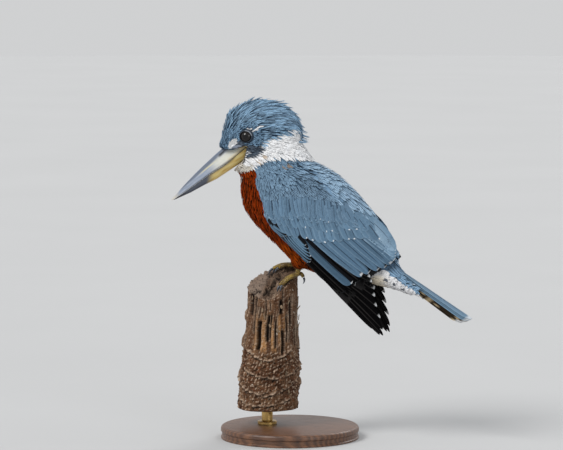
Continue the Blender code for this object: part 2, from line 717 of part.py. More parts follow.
def turned_mesh(name, profile, steps, parts, material):
    """Turned solid from a profile of (radius, height) points, top to bottom."""
    mesh = bpy.data.meshes.new(name)
    points = [(radius, 0.0, height) for radius, height in profile]
    edges = [(i, i + 1) for i in range(len(points) - 1)]
    mesh.from_pydata(points, edges, [])
    node = bpy.data.objects.new(name, mesh)
    parts.objects.link(node)
    screw = node.modifiers.new("turn", "SCREW")
    screw.steps = steps
    screw.render_steps = steps
    screw.use_merge_vertices = True
    screw.merge_threshold = 1e-5
    mesh.materials.append(material)
    return node


def build_stand(parts, materials):
    """The flat round base and the short turned rod that carries the stem."""
    edge = BASE_EDGE
    profile = [(0.0, BASE_HEIGHT), (BASE_RADIUS - 1.6 * edge, BASE_HEIGHT)]
    for k in range(1, 5):
        turn = math.pi / 2.0 * k / 4.0
        profile.append((BASE_RADIUS - 1.6 * edge + 1.6 * edge * math.sin(turn),
                        BASE_HEIGHT - 1.6 * edge * (1.0 - math.cos(turn))))
    profile += [(BASE_RADIUS, edge), (BASE_RADIUS - edge * 0.4, 0.0), (0.0, 0.0)]
    base = turned_mesh("stand_base", profile, 40, parts, materials["base"])
    base.location.x = BASE_CENTRE_X
    low = BASE_HEIGHT + GAP
    high = STEM_STATIONS[0][0] * MM - GAP
    rod_profile = [(0.0, high), (ROD_COLLAR_RADIUS, high),
                   (ROD_COLLAR_RADIUS, high - ROD_COLLAR_HEIGHT * 0.7),
                   (ROD_RADIUS, high - ROD_COLLAR_HEIGHT),
                   (ROD_RADIUS, low + ROD_COLLAR_HEIGHT),
                   (ROD_COLLAR_RADIUS, low + ROD_COLLAR_HEIGHT * 0.7),
                   (ROD_COLLAR_RADIUS, low), (0.0, low)]
    rod = turned_mesh("stand_rod", rod_profile, 16, parts, materials["rod"])
    rod.location.x = ROD_X * MM


# ---------------------------------------------------------------- the whole model

def make_materials():
    """Material of each kind of node."""
    return {
        "head": make_material("slate_blue"),
        "neck": make_material("white"),
        "trunk": make_material("rufous"),
        "rump": bpy.data.materials["slate_blue"],
        "wing": bpy.data.materials["slate_blue"],
        "wing_tip": make_material("black", 0.5),
        "tail": bpy.data.materials["slate_blue"],
        "thigh": bpy.data.materials["rufous"],
        "foot": make_material("ochre", 0.5),
        "claw": make_material("claw", 0.3),
        "bill_upper": make_material("bill_grey", 0.35),
        "bill_lower": make_material("bill_yellow", 0.35),
        "eye_left": make_material("eye", 0.05),
        "eye_right": bpy.data.materials["eye"],
        "stem": make_material("stem", 0.85),
        "rod": make_material("brass", 0.3, 1.0),
        "base": make_material("walnut", 0.4),
    }


def main():
    """Build every node of the model."""
    clear_scene()
    parts = make_collection(BIRD)
    cutters = make_collection("cutters")
    materials = make_materials()
    body, body_cutter = build_body(parts, cutters, materials)
    sockets = build_eyes(parts, cutters, materials)
    notch = make_cutter("cut_notch", notch_mesh(), cutters)
    combine(body["head"], [notch] + sockets)
    build_bill(parts, materials)
    build_wings(parts, body_cutter, materials)
    build_tail(parts, body_cutter, materials)
    rooms = build_legs(parts, cutters, body_cutter, materials)
    for node in parts.objects:
        turn_mesh(node.data)
    build_stem(parts, rooms, materials)
    build_stand(parts, materials)


main()
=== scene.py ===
"""Life-size display model of a male ringed kingfisher on a cut length of dead stem.

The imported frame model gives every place. All work is in millimetres in the frame of the
model, with the bird facing -X, its left side towards -Y and +Z up, and turns to metres
when a mesh is made. The bird is worked out with its head straight, and the turn of the
head is laid on at the end.
"""

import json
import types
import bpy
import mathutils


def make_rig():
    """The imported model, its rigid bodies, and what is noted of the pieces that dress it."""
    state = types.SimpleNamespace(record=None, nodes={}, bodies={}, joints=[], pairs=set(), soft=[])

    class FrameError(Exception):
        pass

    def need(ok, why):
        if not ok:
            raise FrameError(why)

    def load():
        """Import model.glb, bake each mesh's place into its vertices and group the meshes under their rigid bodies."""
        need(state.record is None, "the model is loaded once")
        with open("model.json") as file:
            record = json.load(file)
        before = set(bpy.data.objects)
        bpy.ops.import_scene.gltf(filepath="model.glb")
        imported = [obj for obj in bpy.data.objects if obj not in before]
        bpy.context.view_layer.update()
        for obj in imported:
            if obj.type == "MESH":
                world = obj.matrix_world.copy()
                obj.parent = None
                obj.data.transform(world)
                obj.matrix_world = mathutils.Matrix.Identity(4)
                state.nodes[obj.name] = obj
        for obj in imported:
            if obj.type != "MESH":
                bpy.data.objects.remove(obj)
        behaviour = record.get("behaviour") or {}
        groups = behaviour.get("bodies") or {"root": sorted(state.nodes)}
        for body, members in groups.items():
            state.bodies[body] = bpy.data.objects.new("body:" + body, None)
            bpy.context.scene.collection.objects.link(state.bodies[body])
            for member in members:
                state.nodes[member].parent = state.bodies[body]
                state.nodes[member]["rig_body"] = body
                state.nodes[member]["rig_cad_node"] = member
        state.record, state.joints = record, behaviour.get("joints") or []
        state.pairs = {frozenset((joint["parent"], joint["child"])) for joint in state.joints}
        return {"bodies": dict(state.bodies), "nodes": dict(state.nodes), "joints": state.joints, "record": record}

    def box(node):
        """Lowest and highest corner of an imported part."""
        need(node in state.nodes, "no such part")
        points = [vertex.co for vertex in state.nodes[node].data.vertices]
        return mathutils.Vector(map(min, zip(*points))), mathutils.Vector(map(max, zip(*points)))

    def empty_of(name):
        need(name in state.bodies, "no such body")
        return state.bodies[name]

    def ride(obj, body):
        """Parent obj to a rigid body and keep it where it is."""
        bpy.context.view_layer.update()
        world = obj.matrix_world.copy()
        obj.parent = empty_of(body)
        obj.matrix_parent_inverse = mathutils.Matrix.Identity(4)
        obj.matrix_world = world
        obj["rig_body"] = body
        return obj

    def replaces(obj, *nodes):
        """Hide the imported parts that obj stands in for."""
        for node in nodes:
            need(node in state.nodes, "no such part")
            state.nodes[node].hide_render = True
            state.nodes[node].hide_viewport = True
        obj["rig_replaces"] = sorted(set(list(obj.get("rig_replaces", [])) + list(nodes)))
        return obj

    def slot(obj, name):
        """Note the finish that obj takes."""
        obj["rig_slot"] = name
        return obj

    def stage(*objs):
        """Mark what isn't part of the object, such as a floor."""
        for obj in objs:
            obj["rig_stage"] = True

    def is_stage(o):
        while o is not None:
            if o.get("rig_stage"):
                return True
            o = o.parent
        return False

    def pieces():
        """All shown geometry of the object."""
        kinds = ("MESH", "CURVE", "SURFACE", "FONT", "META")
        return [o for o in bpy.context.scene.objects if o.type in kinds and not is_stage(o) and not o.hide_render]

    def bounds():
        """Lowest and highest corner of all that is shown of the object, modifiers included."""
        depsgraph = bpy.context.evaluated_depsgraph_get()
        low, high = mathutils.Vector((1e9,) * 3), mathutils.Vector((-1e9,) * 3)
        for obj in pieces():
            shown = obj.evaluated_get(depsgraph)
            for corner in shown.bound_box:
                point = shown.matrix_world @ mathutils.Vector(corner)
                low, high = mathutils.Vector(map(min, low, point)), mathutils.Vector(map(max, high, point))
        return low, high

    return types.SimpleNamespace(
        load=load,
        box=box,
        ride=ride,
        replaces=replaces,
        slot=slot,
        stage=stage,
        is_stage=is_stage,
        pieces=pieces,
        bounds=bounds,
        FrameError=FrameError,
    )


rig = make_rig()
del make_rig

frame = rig.load()

import json
import logging
import math
from dataclasses import dataclass, field
from enum import Enum

import bmesh
import bpy
import numpy as np
from mathutils import Vector
from mathutils.bvhtree import BVHTree
from mathutils.kdtree import KDTree

MM = 0.001
SMALL_PATCH = 0.003
SIZE_FILE = "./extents.json"
log = logging.getLogger("ringed_kingfisher")

Array = np.ndarray
Pair = tuple[float, float]
Triple = tuple[float, float, float]


# ------------------------------------------------------------------ choices

class Side(Enum):
    """A side of the bird, with the sign of y there."""

    LEFT = -1
    RIGHT = 1

    @property
    def label(self) -> str:
        """The side's name as piece names use it."""
        return self.name.lower()


class Outline(Enum):
    """Outline of a vane: share of its full width at each station from root to tip."""

    ROUND = (0.45, 0.86, 1.0, 0.97, 0.74, 0.16)
    LANCE = (0.50, 0.88, 1.0, 0.78, 0.42, 0.05)
    LOCK = (0.85, 1.0, 0.86, 0.60, 0.30, 0.03)
    STRAP = (0.70, 0.95, 1.0, 1.0, 0.85, 0.24)


@dataclass(frozen=True)
class WebTones:
    """How a kind of long feather is coloured, in colours from 0 to 255 a channel.

    Places across run from -1 at the outer edge to 1 at the inner one, and places along
    from 0 at the root to 1 at the tip.
    """

    ground: Triple
    edge: Triple = (122, 149, 171)
    edge_mix: float = 0.4
    edge_to: float = -0.9
    inner: Triple = (19, 20, 24)
    inner_from: float = 0.08
    inner_start: float = 0.0
    tip: Triple = (236, 238, 240)
    tip_from: float = 0.985
    tip_low: float = -0.5
    tip_mix: float = 1.0
    shaft: float = 0.9
    spots: float = 0.0
    bars: float = 0.0
    bar: Triple = (214, 205, 186)


class Web(Enum):
    """Marking of a long quill."""

    PRIMARY = WebTones((4, 4, 5), edge=(80, 78, 78), edge_mix=0.3, edge_to=-0.95, inner=(5, 5, 6),
                       tip_from=0.968, tip_low=0.1, shaft=0.0)
    BLADE = WebTones((74, 99, 120), edge=(120, 150, 174), tip_from=0.985, tip_low=-0.1)
    SECONDARY = WebTones((86, 113, 136), edge=(130, 157, 180), edge_mix=0.6, inner=(9, 10, 13),
                         inner_from=0.3, inner_start=0.48, tip_from=0.98, tip_low=0.12)
    TERTIAL = WebTones((108, 136, 159), edge=(156, 182, 203), edge_mix=0.8, inner_from=2.0, tip_from=0.98,
                       tip_low=0.1)
    COVERT = WebTones((94, 123, 147), edge=(126, 154, 177), edge_mix=0.6, inner=(50, 70, 90), inner_from=0.6,
                      tip=(150, 174, 194), tip_from=0.965, tip_low=-2.0, tip_mix=0.4, spots=0.3)
    SMALL_COVERT = WebTones((96, 124, 148), edge=(122, 149, 172), edge_mix=0.5, inner=(54, 74, 94),
                            inner_from=0.6, tip=(132, 158, 180), tip_from=0.95, tip_low=-2.0, tip_mix=0.4,
                            spots=0.16)
    RIM_COVERT = WebTones((11, 13, 17), edge=(104, 137, 163), edge_mix=1.0, edge_to=-0.5, inner_from=0.1,
                          tip_from=0.98, tip_mix=0.8, shaft=0.3)
    TAIL_MIDDLE = WebTones((98, 128, 152), edge=(140, 168, 190), edge_mix=0.5, inner_from=2.0, tip_from=0.94,
                           tip_low=-2.0, shaft=1.0)
    TAIL_OUTER = WebTones((13, 11, 10), edge=(84, 68, 50), inner_from=2.0, tip_from=0.92, tip_low=-2.0,
                          shaft=0.4, bars=8.0, bar=(172, 154, 122))


# ------------------------------------------------------------------ small sums

def spline(table: tuple, at: Array) -> Array:
    """Rows of a table of stations at fractional places, by a Catmull-Rom spline.

    Args:
        table: Rows of numbers, one row to a station.
        at: Fractional places along the table.

    Returns:
        One row of values for each place.
    """
    rows = np.asarray(table, float)
    at = np.atleast_1d(np.asarray(at, float))
    padded = np.vstack([2 * rows[0] - rows[1], rows, 2 * rows[-1] - rows[-2]])
    i = np.clip(np.floor(at).astype(int), 0, len(rows) - 2)
    t = (at - i)[:, None]
    p0, p1, p2, p3 = padded[i], padded[i + 1], padded[i + 2], padded[i + 3]
    return 0.5 * (2 * p1 + (p2 - p0) * t + (2 * p0 - 5 * p1 + 4 * p2 - p3) * t ** 2
                  + (3 * p1 - p0 - 3 * p2 + p3) * t ** 3)


def along(line: tuple, at: Array) -> Array:
    """Height of a broken line of (place, height) points.

    Args:
        line: Points of the line, with places rising.
        at: Places to read it at.

    Returns:
        The heights there.
    """
    pts = np.asarray(line, float)
    return np.interp(at, pts[:, 0], pts[:, 1])


def ease(low: float, high: float, value: Array) -> Array:
    """A smooth step from 0 to 1.

    Args:
        low: Where the step starts.
        high: Where it ends.
        value: Numbers to read it at.

    Returns:
        0 below low, 1 above high, and an even S between them.
    """
    t = np.clip((np.asarray(value, float) - low) / (high - low), 0.0, 1.0)
    return t * t * (3.0 - 2.0 * t)


def unit(vectors: Array) -> Array:
    """The vectors at length one."""
    return vectors / np.maximum(np.linalg.norm(vectors, axis=-1, keepdims=True), 1e-9)


def tone(red: int, green: int, blue: int) -> Array:
    """A colour from 0 to 255 a channel as linear light."""
    c = np.array([red, green, blue]) / 255.0
    return np.where(c <= 0.04045, c / 12.92, ((c + 0.055) / 1.055) ** 2.4)


def inside(points: Array, corners: tuple) -> Array:
    """Which points lie in a closed shape, by counting crossings.

    Args:
        points: Points as (n, 2).
        corners: Corners of the shape in order.

    Returns:
        True for each point inside.
    """
    x, z = points[:, 0], points[:, 1]
    found = np.zeros(len(points), bool)
    ring = np.asarray(corners, float)
    for (ax, az), (bx, bz) in zip(ring, np.roll(ring, -1, axis=0)):
        spans = (az > z) != (bz > z)
        cross = ax + (z - az) * (bx - ax) / (bz - az if bz != az else 1e-9)
        found ^= spans & (x < cross)
    return found


def rough(points: Array, size: float, seed: int) -> Array:
    """A cheap smooth noise from sines that run in many directions.

    Args:
        points: Points as (n, d).
        size: Rough size of its lumps, in the points' unit.
        seed: Seed of its directions.

    Returns:
        Values from about -1 to 1.
    """
    rng = np.random.default_rng(seed)
    total = np.zeros(len(points))
    for _ in range(9):
        way = unit(rng.normal(size=points.shape[1])) * rng.uniform(0.6, 1.7) * math.tau / size
        total += np.sin(points @ way + rng.uniform(0, math.tau))
    return total / 4.0


def mirror(points: Array) -> Array:
    """The points on the other side of the bird's middle plane."""
    return points * np.array([1.0, -1.0, 1.0])


@dataclass(frozen=True)
class HeadTurn:
    """The turn of the head to the bird's left, as the frame model has it."""

    angle: float = math.radians(12.0)
    axis_x: float = -12.0
    weight_x: float = -0.55
    weight_z: float = 0.83
    level: float = 255.0
    start: float = 13.0
    end: float = 34.0

    def _turned(self, points: Array, angle: Array) -> Array:
        """The points turned about the upright axis, each by its own angle."""
        out = points.copy()
        dx = points[..., 0] - self.axis_x
        dy = points[..., 1]
        out[..., 0] = self.axis_x + np.cos(angle) * dx - np.sin(angle) * dy
        out[..., 1] = np.sin(angle) * dx + np.cos(angle) * dy
        return out

    def share(self, straight: Array) -> Array:
        """The angle that each straight point turns by."""
        reach = self.weight_x * straight[..., 0] + self.weight_z * (straight[..., 2] - self.level)
        return self.angle * ease(self.start, self.end, reach)

    def turn(self, straight: Array) -> Array:
        """Points of the straight bird as the posed bird has them."""
        return self._turned(np.asarray(straight, float), self.share(straight))

    def straighten(self, posed: Array) -> Array:
        """Points of the posed bird as the straight bird has them."""
        posed = np.asarray(posed, float)
        guess = posed.copy()
        for _ in range(12):
            guess = self._turned(posed, -self.share(guess))
        return guess


TURN = HeadTurn()


# ------------------------------------------------------------------ meshes

def read_mesh(mesh: bpy.types.Mesh) -> tuple[Array, Array]:
    """Vertices in millimetres and their normals.

    Args:
        mesh: The mesh to read.

    Returns:
        Places and normals, each (n, 3).
    """
    count = len(mesh.vertices)
    places, normals = np.empty(count * 3), np.empty(count * 3)
    mesh.vertices.foreach_get("co", places)
    mesh.vertices.foreach_get("normal", normals)
    return places.reshape(-1, 3) / MM, normals.reshape(-1, 3)


def write_places(mesh: bpy.types.Mesh, places: Array) -> None:
    """Put new places, in millimetres, on a mesh's vertices."""
    mesh.vertices.foreach_set("co", (places * MM).astype(np.float32).ravel())
    mesh.update()


def paint(mesh: bpy.types.Mesh, colours: Array, name: str = "plumage") -> None:
    """Write a colour with a mask in its fourth channel to a mesh's vertices.

    Args:
        mesh: The mesh to colour.
        colours: (n, 3) or (n, 4) in linear light.
        name: Name of the colour attribute.
    """
    full = np.ones((len(mesh.vertices), 4), np.float32)
    full[:, :colours.shape[1]] = colours
    layer = mesh.color_attributes.new(name, "FLOAT_COLOR", "POINT")
    layer.data.foreach_set("color", full.ravel())


def add_uv(mesh: bpy.types.Mesh, name: str, per_vertex: Array) -> None:
    """Add a UV map from one pair of numbers for each vertex.

    Args:
        mesh: The mesh that gets the map.
        name: Name of the map.
        per_vertex: (n, 2) values.
    """
    layer = mesh.uv_layers.new(name=name)
    corner = np.empty(len(mesh.loops), np.int32)
    mesh.loops.foreach_get("vertex_index", corner)
    layer.data.foreach_set("uv", per_vertex[corner].astype(np.float32).ravel())


def mesh_from(name: str, verts: Array, faces: list) -> bpy.types.Mesh:
    """A smooth mesh from places in millimetres and faces.

    Args:
        name: Name of the mesh.
        verts: (n, 3) places in millimetres.
        faces: Lists of vertex numbers.

    Returns:
        The mesh.
    """
    mesh = bpy.data.meshes.new(name)
    mesh.from_pydata((verts * MM).tolist(), [], [list(map(int, f)) for f in faces])
    mesh.polygons.foreach_set("use_smooth", np.ones(len(mesh.polygons), bool))
    mesh.update()
    return mesh


def ring_faces(rings: int, around: int, flip: bool = False) -> list[list[int]]:
    """Faces between closed rings of vertices that are numbered ring by ring.

    Args:
        rings: How many rings.
        around: Vertices in each ring.
        flip: Whether the faces look the other way.

    Returns:
        The faces.
    """
    ids = np.arange(rings * around).reshape(rings, around)
    after = np.roll(ids, -1, axis=1)
    corners = (ids[:-1], ids[1:], after[1:], after[:-1])
    if flip:
        corners = (ids[:-1], after[:-1], after[1:], ids[1:])
    return np.stack(corners, -1).reshape(-1, 4).tolist()


def cap_faces(tip: int, start: int, around: int, flip: bool = False) -> list[tuple]:
    """Faces between one vertex and a closed ring of vertices.

    Args:
        tip: Number of the single vertex.
        start: Number of the ring's first vertex.
        around: Vertices in the ring.
        flip: Whether the faces look the other way.

    Returns:
        The faces.
    """
    steps = [(start + c, start + (c + 1) % around) for c in range(around)]
    return [(tip, after, one) if flip else (tip, one, after) for one, after in steps]


def face_outward(mesh: bpy.types.Mesh) -> None:
    """Turn the faces of a closed mesh outward."""
    bm = bmesh.new()
    bm.from_mesh(mesh)
    bmesh.ops.recalc_face_normals(bm, faces=bm.faces)
    bm.to_mesh(mesh)
    bm.free()


def laid(ground: Array, colour: Array, share: Array) -> Array:
    """Colours with another laid over them.

    Args:
        ground: The colours below, with their three numbers last.
        colour: The colour on top.
        share: How strongly it covers each place.

    Returns:
        The mixed colours.
    """
    return ground + (colour - ground) * share[..., None]


def place(name: str, mesh: bpy.types.Mesh, material: bpy.types.Material | None = None) -> bpy.types.Object:
    """Link a mesh as a piece that rides on the root body.

    Args:
        name: Name of the piece.
        mesh: Its mesh.
        material: Its finish, if it is known yet.

    Returns:
        The new object.
    """
    piece = bpy.data.objects.new(name, mesh)
    bpy.context.scene.collection.objects.link(piece)
    if material is not None:
        mesh.materials.clear()
        mesh.materials.append(material)
    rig.ride(piece, "root")
    log.info("%s: %d faces", name, len(mesh.polygons))
    return piece


def node_mesh(*names: str) -> bpy.types.Mesh:
    """A copy of the meshes of some frame nodes, joined.

    Args:
        names: Names of the nodes.

    Returns:
        One mesh in metres, which belongs to no object.
    """
    bm = bmesh.new()
    for name in names:
        bm.from_mesh(frame["nodes"][name].data)
    bmesh.ops.remove_doubles(bm, verts=bm.verts, dist=1e-6)
    mesh = bpy.data.meshes.new("joined")
    bm.to_mesh(mesh)
    bm.free()
    return mesh


def node_tree(*names: str) -> BVHTree:
    """A search tree over the faces of some frame nodes."""
    mesh = node_mesh(*names)
    bm = bmesh.new()
    bm.from_mesh(mesh)
    tree = BVHTree.FromBMesh(bm)
    bm.free()
    bpy.data.meshes.remove(mesh)
    return tree


def evaluated(mesh: bpy.types.Mesh, steps: list[tuple[str, dict]]) -> bpy.types.Mesh:
    """A mesh after a row of modifiers.

    Args:
        mesh: The mesh to work on. It is used up.
        steps: Kind of each modifier and its settings.

    Returns:
        The resulting mesh.
    """
    holder = bpy.data.objects.new("holder", mesh)
    bpy.context.scene.collection.objects.link(holder)
    for kind, settings in steps:
        step = holder.modifiers.new(kind.lower(), kind)
        for key, value in settings.items():
            setattr(step, key, value)
    bpy.context.view_layer.update()
    seen = holder.evaluated_get(bpy.context.evaluated_depsgraph_get())
    made = bpy.data.meshes.new_from_object(seen)
    bpy.data.objects.remove(holder)
    bpy.data.meshes.remove(mesh)
    made.polygons.foreach_set("use_smooth", np.ones(len(made.polygons), bool))
    made.update()
    return made


def remeshed(mesh: bpy.types.Mesh, voxel: float, rounds: int) -> bpy.types.Mesh:
    """A mesh remade from even voxels and smoothed.

    Args:
        mesh: The mesh to work on. It is used up.
        voxel: Voxel size in millimetres.
        rounds: Rounds of smoothing.

    Returns:
        The new mesh.
    """
    return evaluated(mesh, [
        ("REMESH", {"mode": "VOXEL", "voxel_size": voxel * MM, "use_smooth_shade": True}),
        ("SMOOTH", {"factor": 0.5, "iterations": rounds}),
    ])


# ------------------------------------------------------------------ the coat's form

@dataclass
class CoatForm:
    """The bird's outer form, joined from the frame's nodes, which feathers settle on."""

    nodes: tuple = ("head", "neck", "trunk", "rump", "tail", "thigh_left", "thigh_right",
                    "wing_left", "wing_right")
    voxel: float = 1.5
    rounds: int = 12
    neighbours: int = 7
    places: Array = field(init=False)
    normals: Array = field(init=False)
    crown: tuple = ((-69.1, 293.0), (-68.6, 297.6), (-67.1, 303.6), (-64.1, 311.6), (-60.5, 318.1),
                    (-56.0, 321.7), (-51.5, 324.7), (-47.0, 326.5), (-40.9, 328.2), (-32.9, 329.0),
                    (-22.9, 328.2), (-12.9, 327.2), (-7.9, 325.6), (-2.9, 323.8), (1.2, 320.5),
                    (6.2, 315.1), (9.0, 309.1), (12.4, 302.6), (15.6, 298.4), (19.4, 291.5), (24.0, 284.0))
    middle: Pair = (-28.0, 296.0)
    head_reach: float = 60.0
    head_least: float = 0.84
    feather_room: float = 1.7
    breast_room: float = 2.4
    rump_line: tuple = ((95.0, 176.0), (125.0, 157.0), (150.0, 142.0))
    rump_room: float = 1.8
    rump_way: Pair = (-0.53, -0.85)
    tries: float = 5.0
    cell: float = 3.0
    triangles: Array = field(init=False)
    tree: KDTree = field(init=False)

    def __post_init__(self) -> None:
        """Build the form and the search tree over its vertices."""
        mesh = remeshed(node_mesh(*self.nodes), self.voxel, self.rounds)
        write_places(mesh, self.trim(read_mesh(mesh)[0]))
        self.places, self.normals = read_mesh(mesh)
        mesh.calc_loop_triangles()
        corners = np.empty(len(mesh.loop_triangles) * 3, np.int32)
        mesh.loop_triangles.foreach_get("vertices", corners)
        self.triangles = corners.reshape(-1, 3)
        self.tree = KDTree(len(self.places))
        for index, spot in enumerate(self.places):
            self.tree.insert(spot, index)
        self.tree.balance()
        bpy.data.meshes.remove(mesh)

    def _rim(self, turn: Array, reach: Array) -> Array:
        """How far the head reaches from its middle, in the way of each place."""
        slots = np.linspace(-0.6, math.pi + 0.5, 64)
        near = np.clip(np.searchsorted(slots, turn), 0, len(slots) - 1)
        widest = np.full(len(slots), 1.0)
        np.maximum.at(widest, near, np.where(reach < self.head_reach, reach, 1.0))
        widest = np.convolve(np.pad(widest, 1, mode="edge"), [0.25, 0.5, 0.25], "valid")
        return np.interp(turn, slots, widest)

    def _trim_head(self, straight: Array) -> None:
        """Draw the head in until the crest's feathers end at the crown line."""
        off = straight[:, [0, 2]] - np.array(self.middle)
        turn, reach = np.arctan2(off[:, 1], off[:, 0]), np.hypot(*off.T)
        turn = np.where(turn < -1.2, turn + math.tau, turn)
        line = spline(self.crown, np.linspace(0, len(self.crown) - 1, 300)) - np.array(self.middle)
        angles = np.unwrap(np.arctan2(line[:, 1], line[:, 0]))[::-1]
        wanted = np.interp(turn, angles, np.hypot(*line.T)[::-1] - self.feather_room)
        rim = self._rim(turn, reach)
        share = (ease(-0.40, -0.05, turn) * ease(math.pi + 0.22, math.pi - 0.02, turn)
                 * ease(0.35, 0.8, reach / rim) * (reach < self.head_reach))
        scale = 1.0 + (np.clip(wanted / rim, self.head_least, 1.0) - 1.0) * share
        straight[:, 0] = self.middle[0] + off[:, 0] * scale
        straight[:, 2] = self.middle[1] + off[:, 1] * scale

    def trim(self, places: Array) -> Array:
        """Draw the form of the head, breast and rump in, to leave room for the feathers.

        Args:
            places: (n, 3) places on the posed bird.

        Returns:
            The same places, drawn in.
        """
        straight = TURN.straighten(places)
        self._trim_head(straight)
        x, z = straight[:, 0], straight[:, 2]
        x += self.breast_room * ease(224.0, 240.0, z) * ease(270.0, 258.0, z) * ease(-34.0, -48.0, x)
        sunk = self.rump_room * ease(110.0, 122.0, x) * ease(-1.0, 6.0, z - along(self.rump_line, x))
        x += self.rump_way[0] * sunk
        z += self.rump_way[1] * sunk
        return TURN.turn(straight)

    def settle(self, points: Array) -> tuple[Array, Array]:
        """Bring points to the form's surface.

        Args:
            points: (n, 3) places in millimetres.

        Returns:
            The places on the surface and the normals there.
        """
        near = np.empty((len(points), self.neighbours), int)
        far = np.empty((len(points), self.neighbours))
        for row, point in enumerate(points.tolist()):
            hits = self.tree.find_n(point, self.neighbours)
            for col, (_, index, distance) in enumerate(hits):
                near[row, col] = index
                far[row, col] = distance
        share = 1.0 / (far + 0.8)
        share /= share.sum(axis=1, keepdims=True)
        normal = unit((self.normals[near] * share[..., None]).sum(axis=1))
        centre = (self.places[near] * share[..., None]).sum(axis=1)
        depth = ((points - centre) * normal).sum(axis=1, keepdims=True)
        return points - depth * normal, normal

    def scatter(self, spacing: Array, rng: np.random.Generator) -> Array:
        """Points spread over the surface at a spacing that may change from place to place.

        Args:
            spacing: Wanted spacing at each vertex of the form, 0 where none is wanted.
            rng: Source of chance.

        Returns:
            The points.
        """
        a, b, c = (self.places[self.triangles[:, k]] for k in range(3))
        room = spacing[self.triangles].min(axis=1)
        area = np.linalg.norm(np.cross(b - a, c - a), axis=1) / 2.0
        wish = np.where(room > 0, area / np.maximum(room, 0.1) ** 2 * self.tries, 0.0)
        count = int(wish.sum())
        pick = rng.choice(len(wish), size=count, p=wish / wish.sum())
        r1, r2 = np.sqrt(rng.random(count))[:, None], rng.random(count)[:, None]
        spots = a[pick] * (1 - r1) + b[pick] * r1 * (1 - r2) + c[pick] * r1 * r2
        gaps = room[pick]
        kept: list[int] = []
        cells: dict[tuple, list[int]] = {}
        keys = np.floor(spots / self.cell).astype(int).tolist()
        rows = spots.tolist()
        for n, (kx, ky, kz) in enumerate(keys):
            x, y, z = rows[n]
            limit = gaps[n] ** 2
            near = (rows[m] for ix in (kx - 1, kx, kx + 1) for iy in (ky - 1, ky, ky + 1)
                    for iz in (kz - 1, kz, kz + 1) for m in cells.get((ix, iy, iz), ()))
            if not any((px - x) ** 2 + (py - y) ** 2 + (pz - z) ** 2 < limit for px, py, pz in near):
                kept.append(n)
                cells.setdefault((kx, ky, kz), []).append(n)
        return spots[kept]


@dataclass(frozen=True)
class Unwrap:
    """An unwrap of the skin: length along the body's own line, and the turn about it."""

    line: tuple = ((-70.0, 285.0), (-45.0, 297.0), (-20.0, 292.0), (-10.0, 265.0), (5.0, 240.0),
                   (35.0, 215.0), (65.0, 190.0), (95.0, 172.0), (130.0, 152.0), (185.0, 118.0))

    def __call__(self, straight: Array) -> Array:
        """Places on the unwrap.

        Args:
            straight: (n, 3) places on the straight bird.

        Returns:
            (n, 2) places from 0 to 1.
        """
        line = np.asarray(self.line, float)
        steps = np.vstack([spline(self.line, np.linspace(0, len(line) - 1, 240))])
        length = np.concatenate([[0.0], np.cumsum(np.linalg.norm(np.diff(steps, axis=0), axis=1))])
        flat = straight[:, [0, 2]]
        best = np.empty(len(flat), int)
        for start in range(0, len(flat), 4000):
            part = flat[start:start + 4000]
            best[start:start + 4000] = ((part[:, None] - steps[None]) ** 2).sum(-1).argmin(1)
        way = unit(np.gradient(steps, axis=0))[best]
        off = flat - steps[best]
        up = way[:, 0] * off[:, 1] - way[:, 1] * off[:, 0]
        turn = np.arctan2(straight[:, 1], up) / math.tau + 0.5
        return np.column_stack([0.02 + 0.95 * turn, 0.02 + 0.95 * length[best] / length[-1]])


UNWRAP = Unwrap()


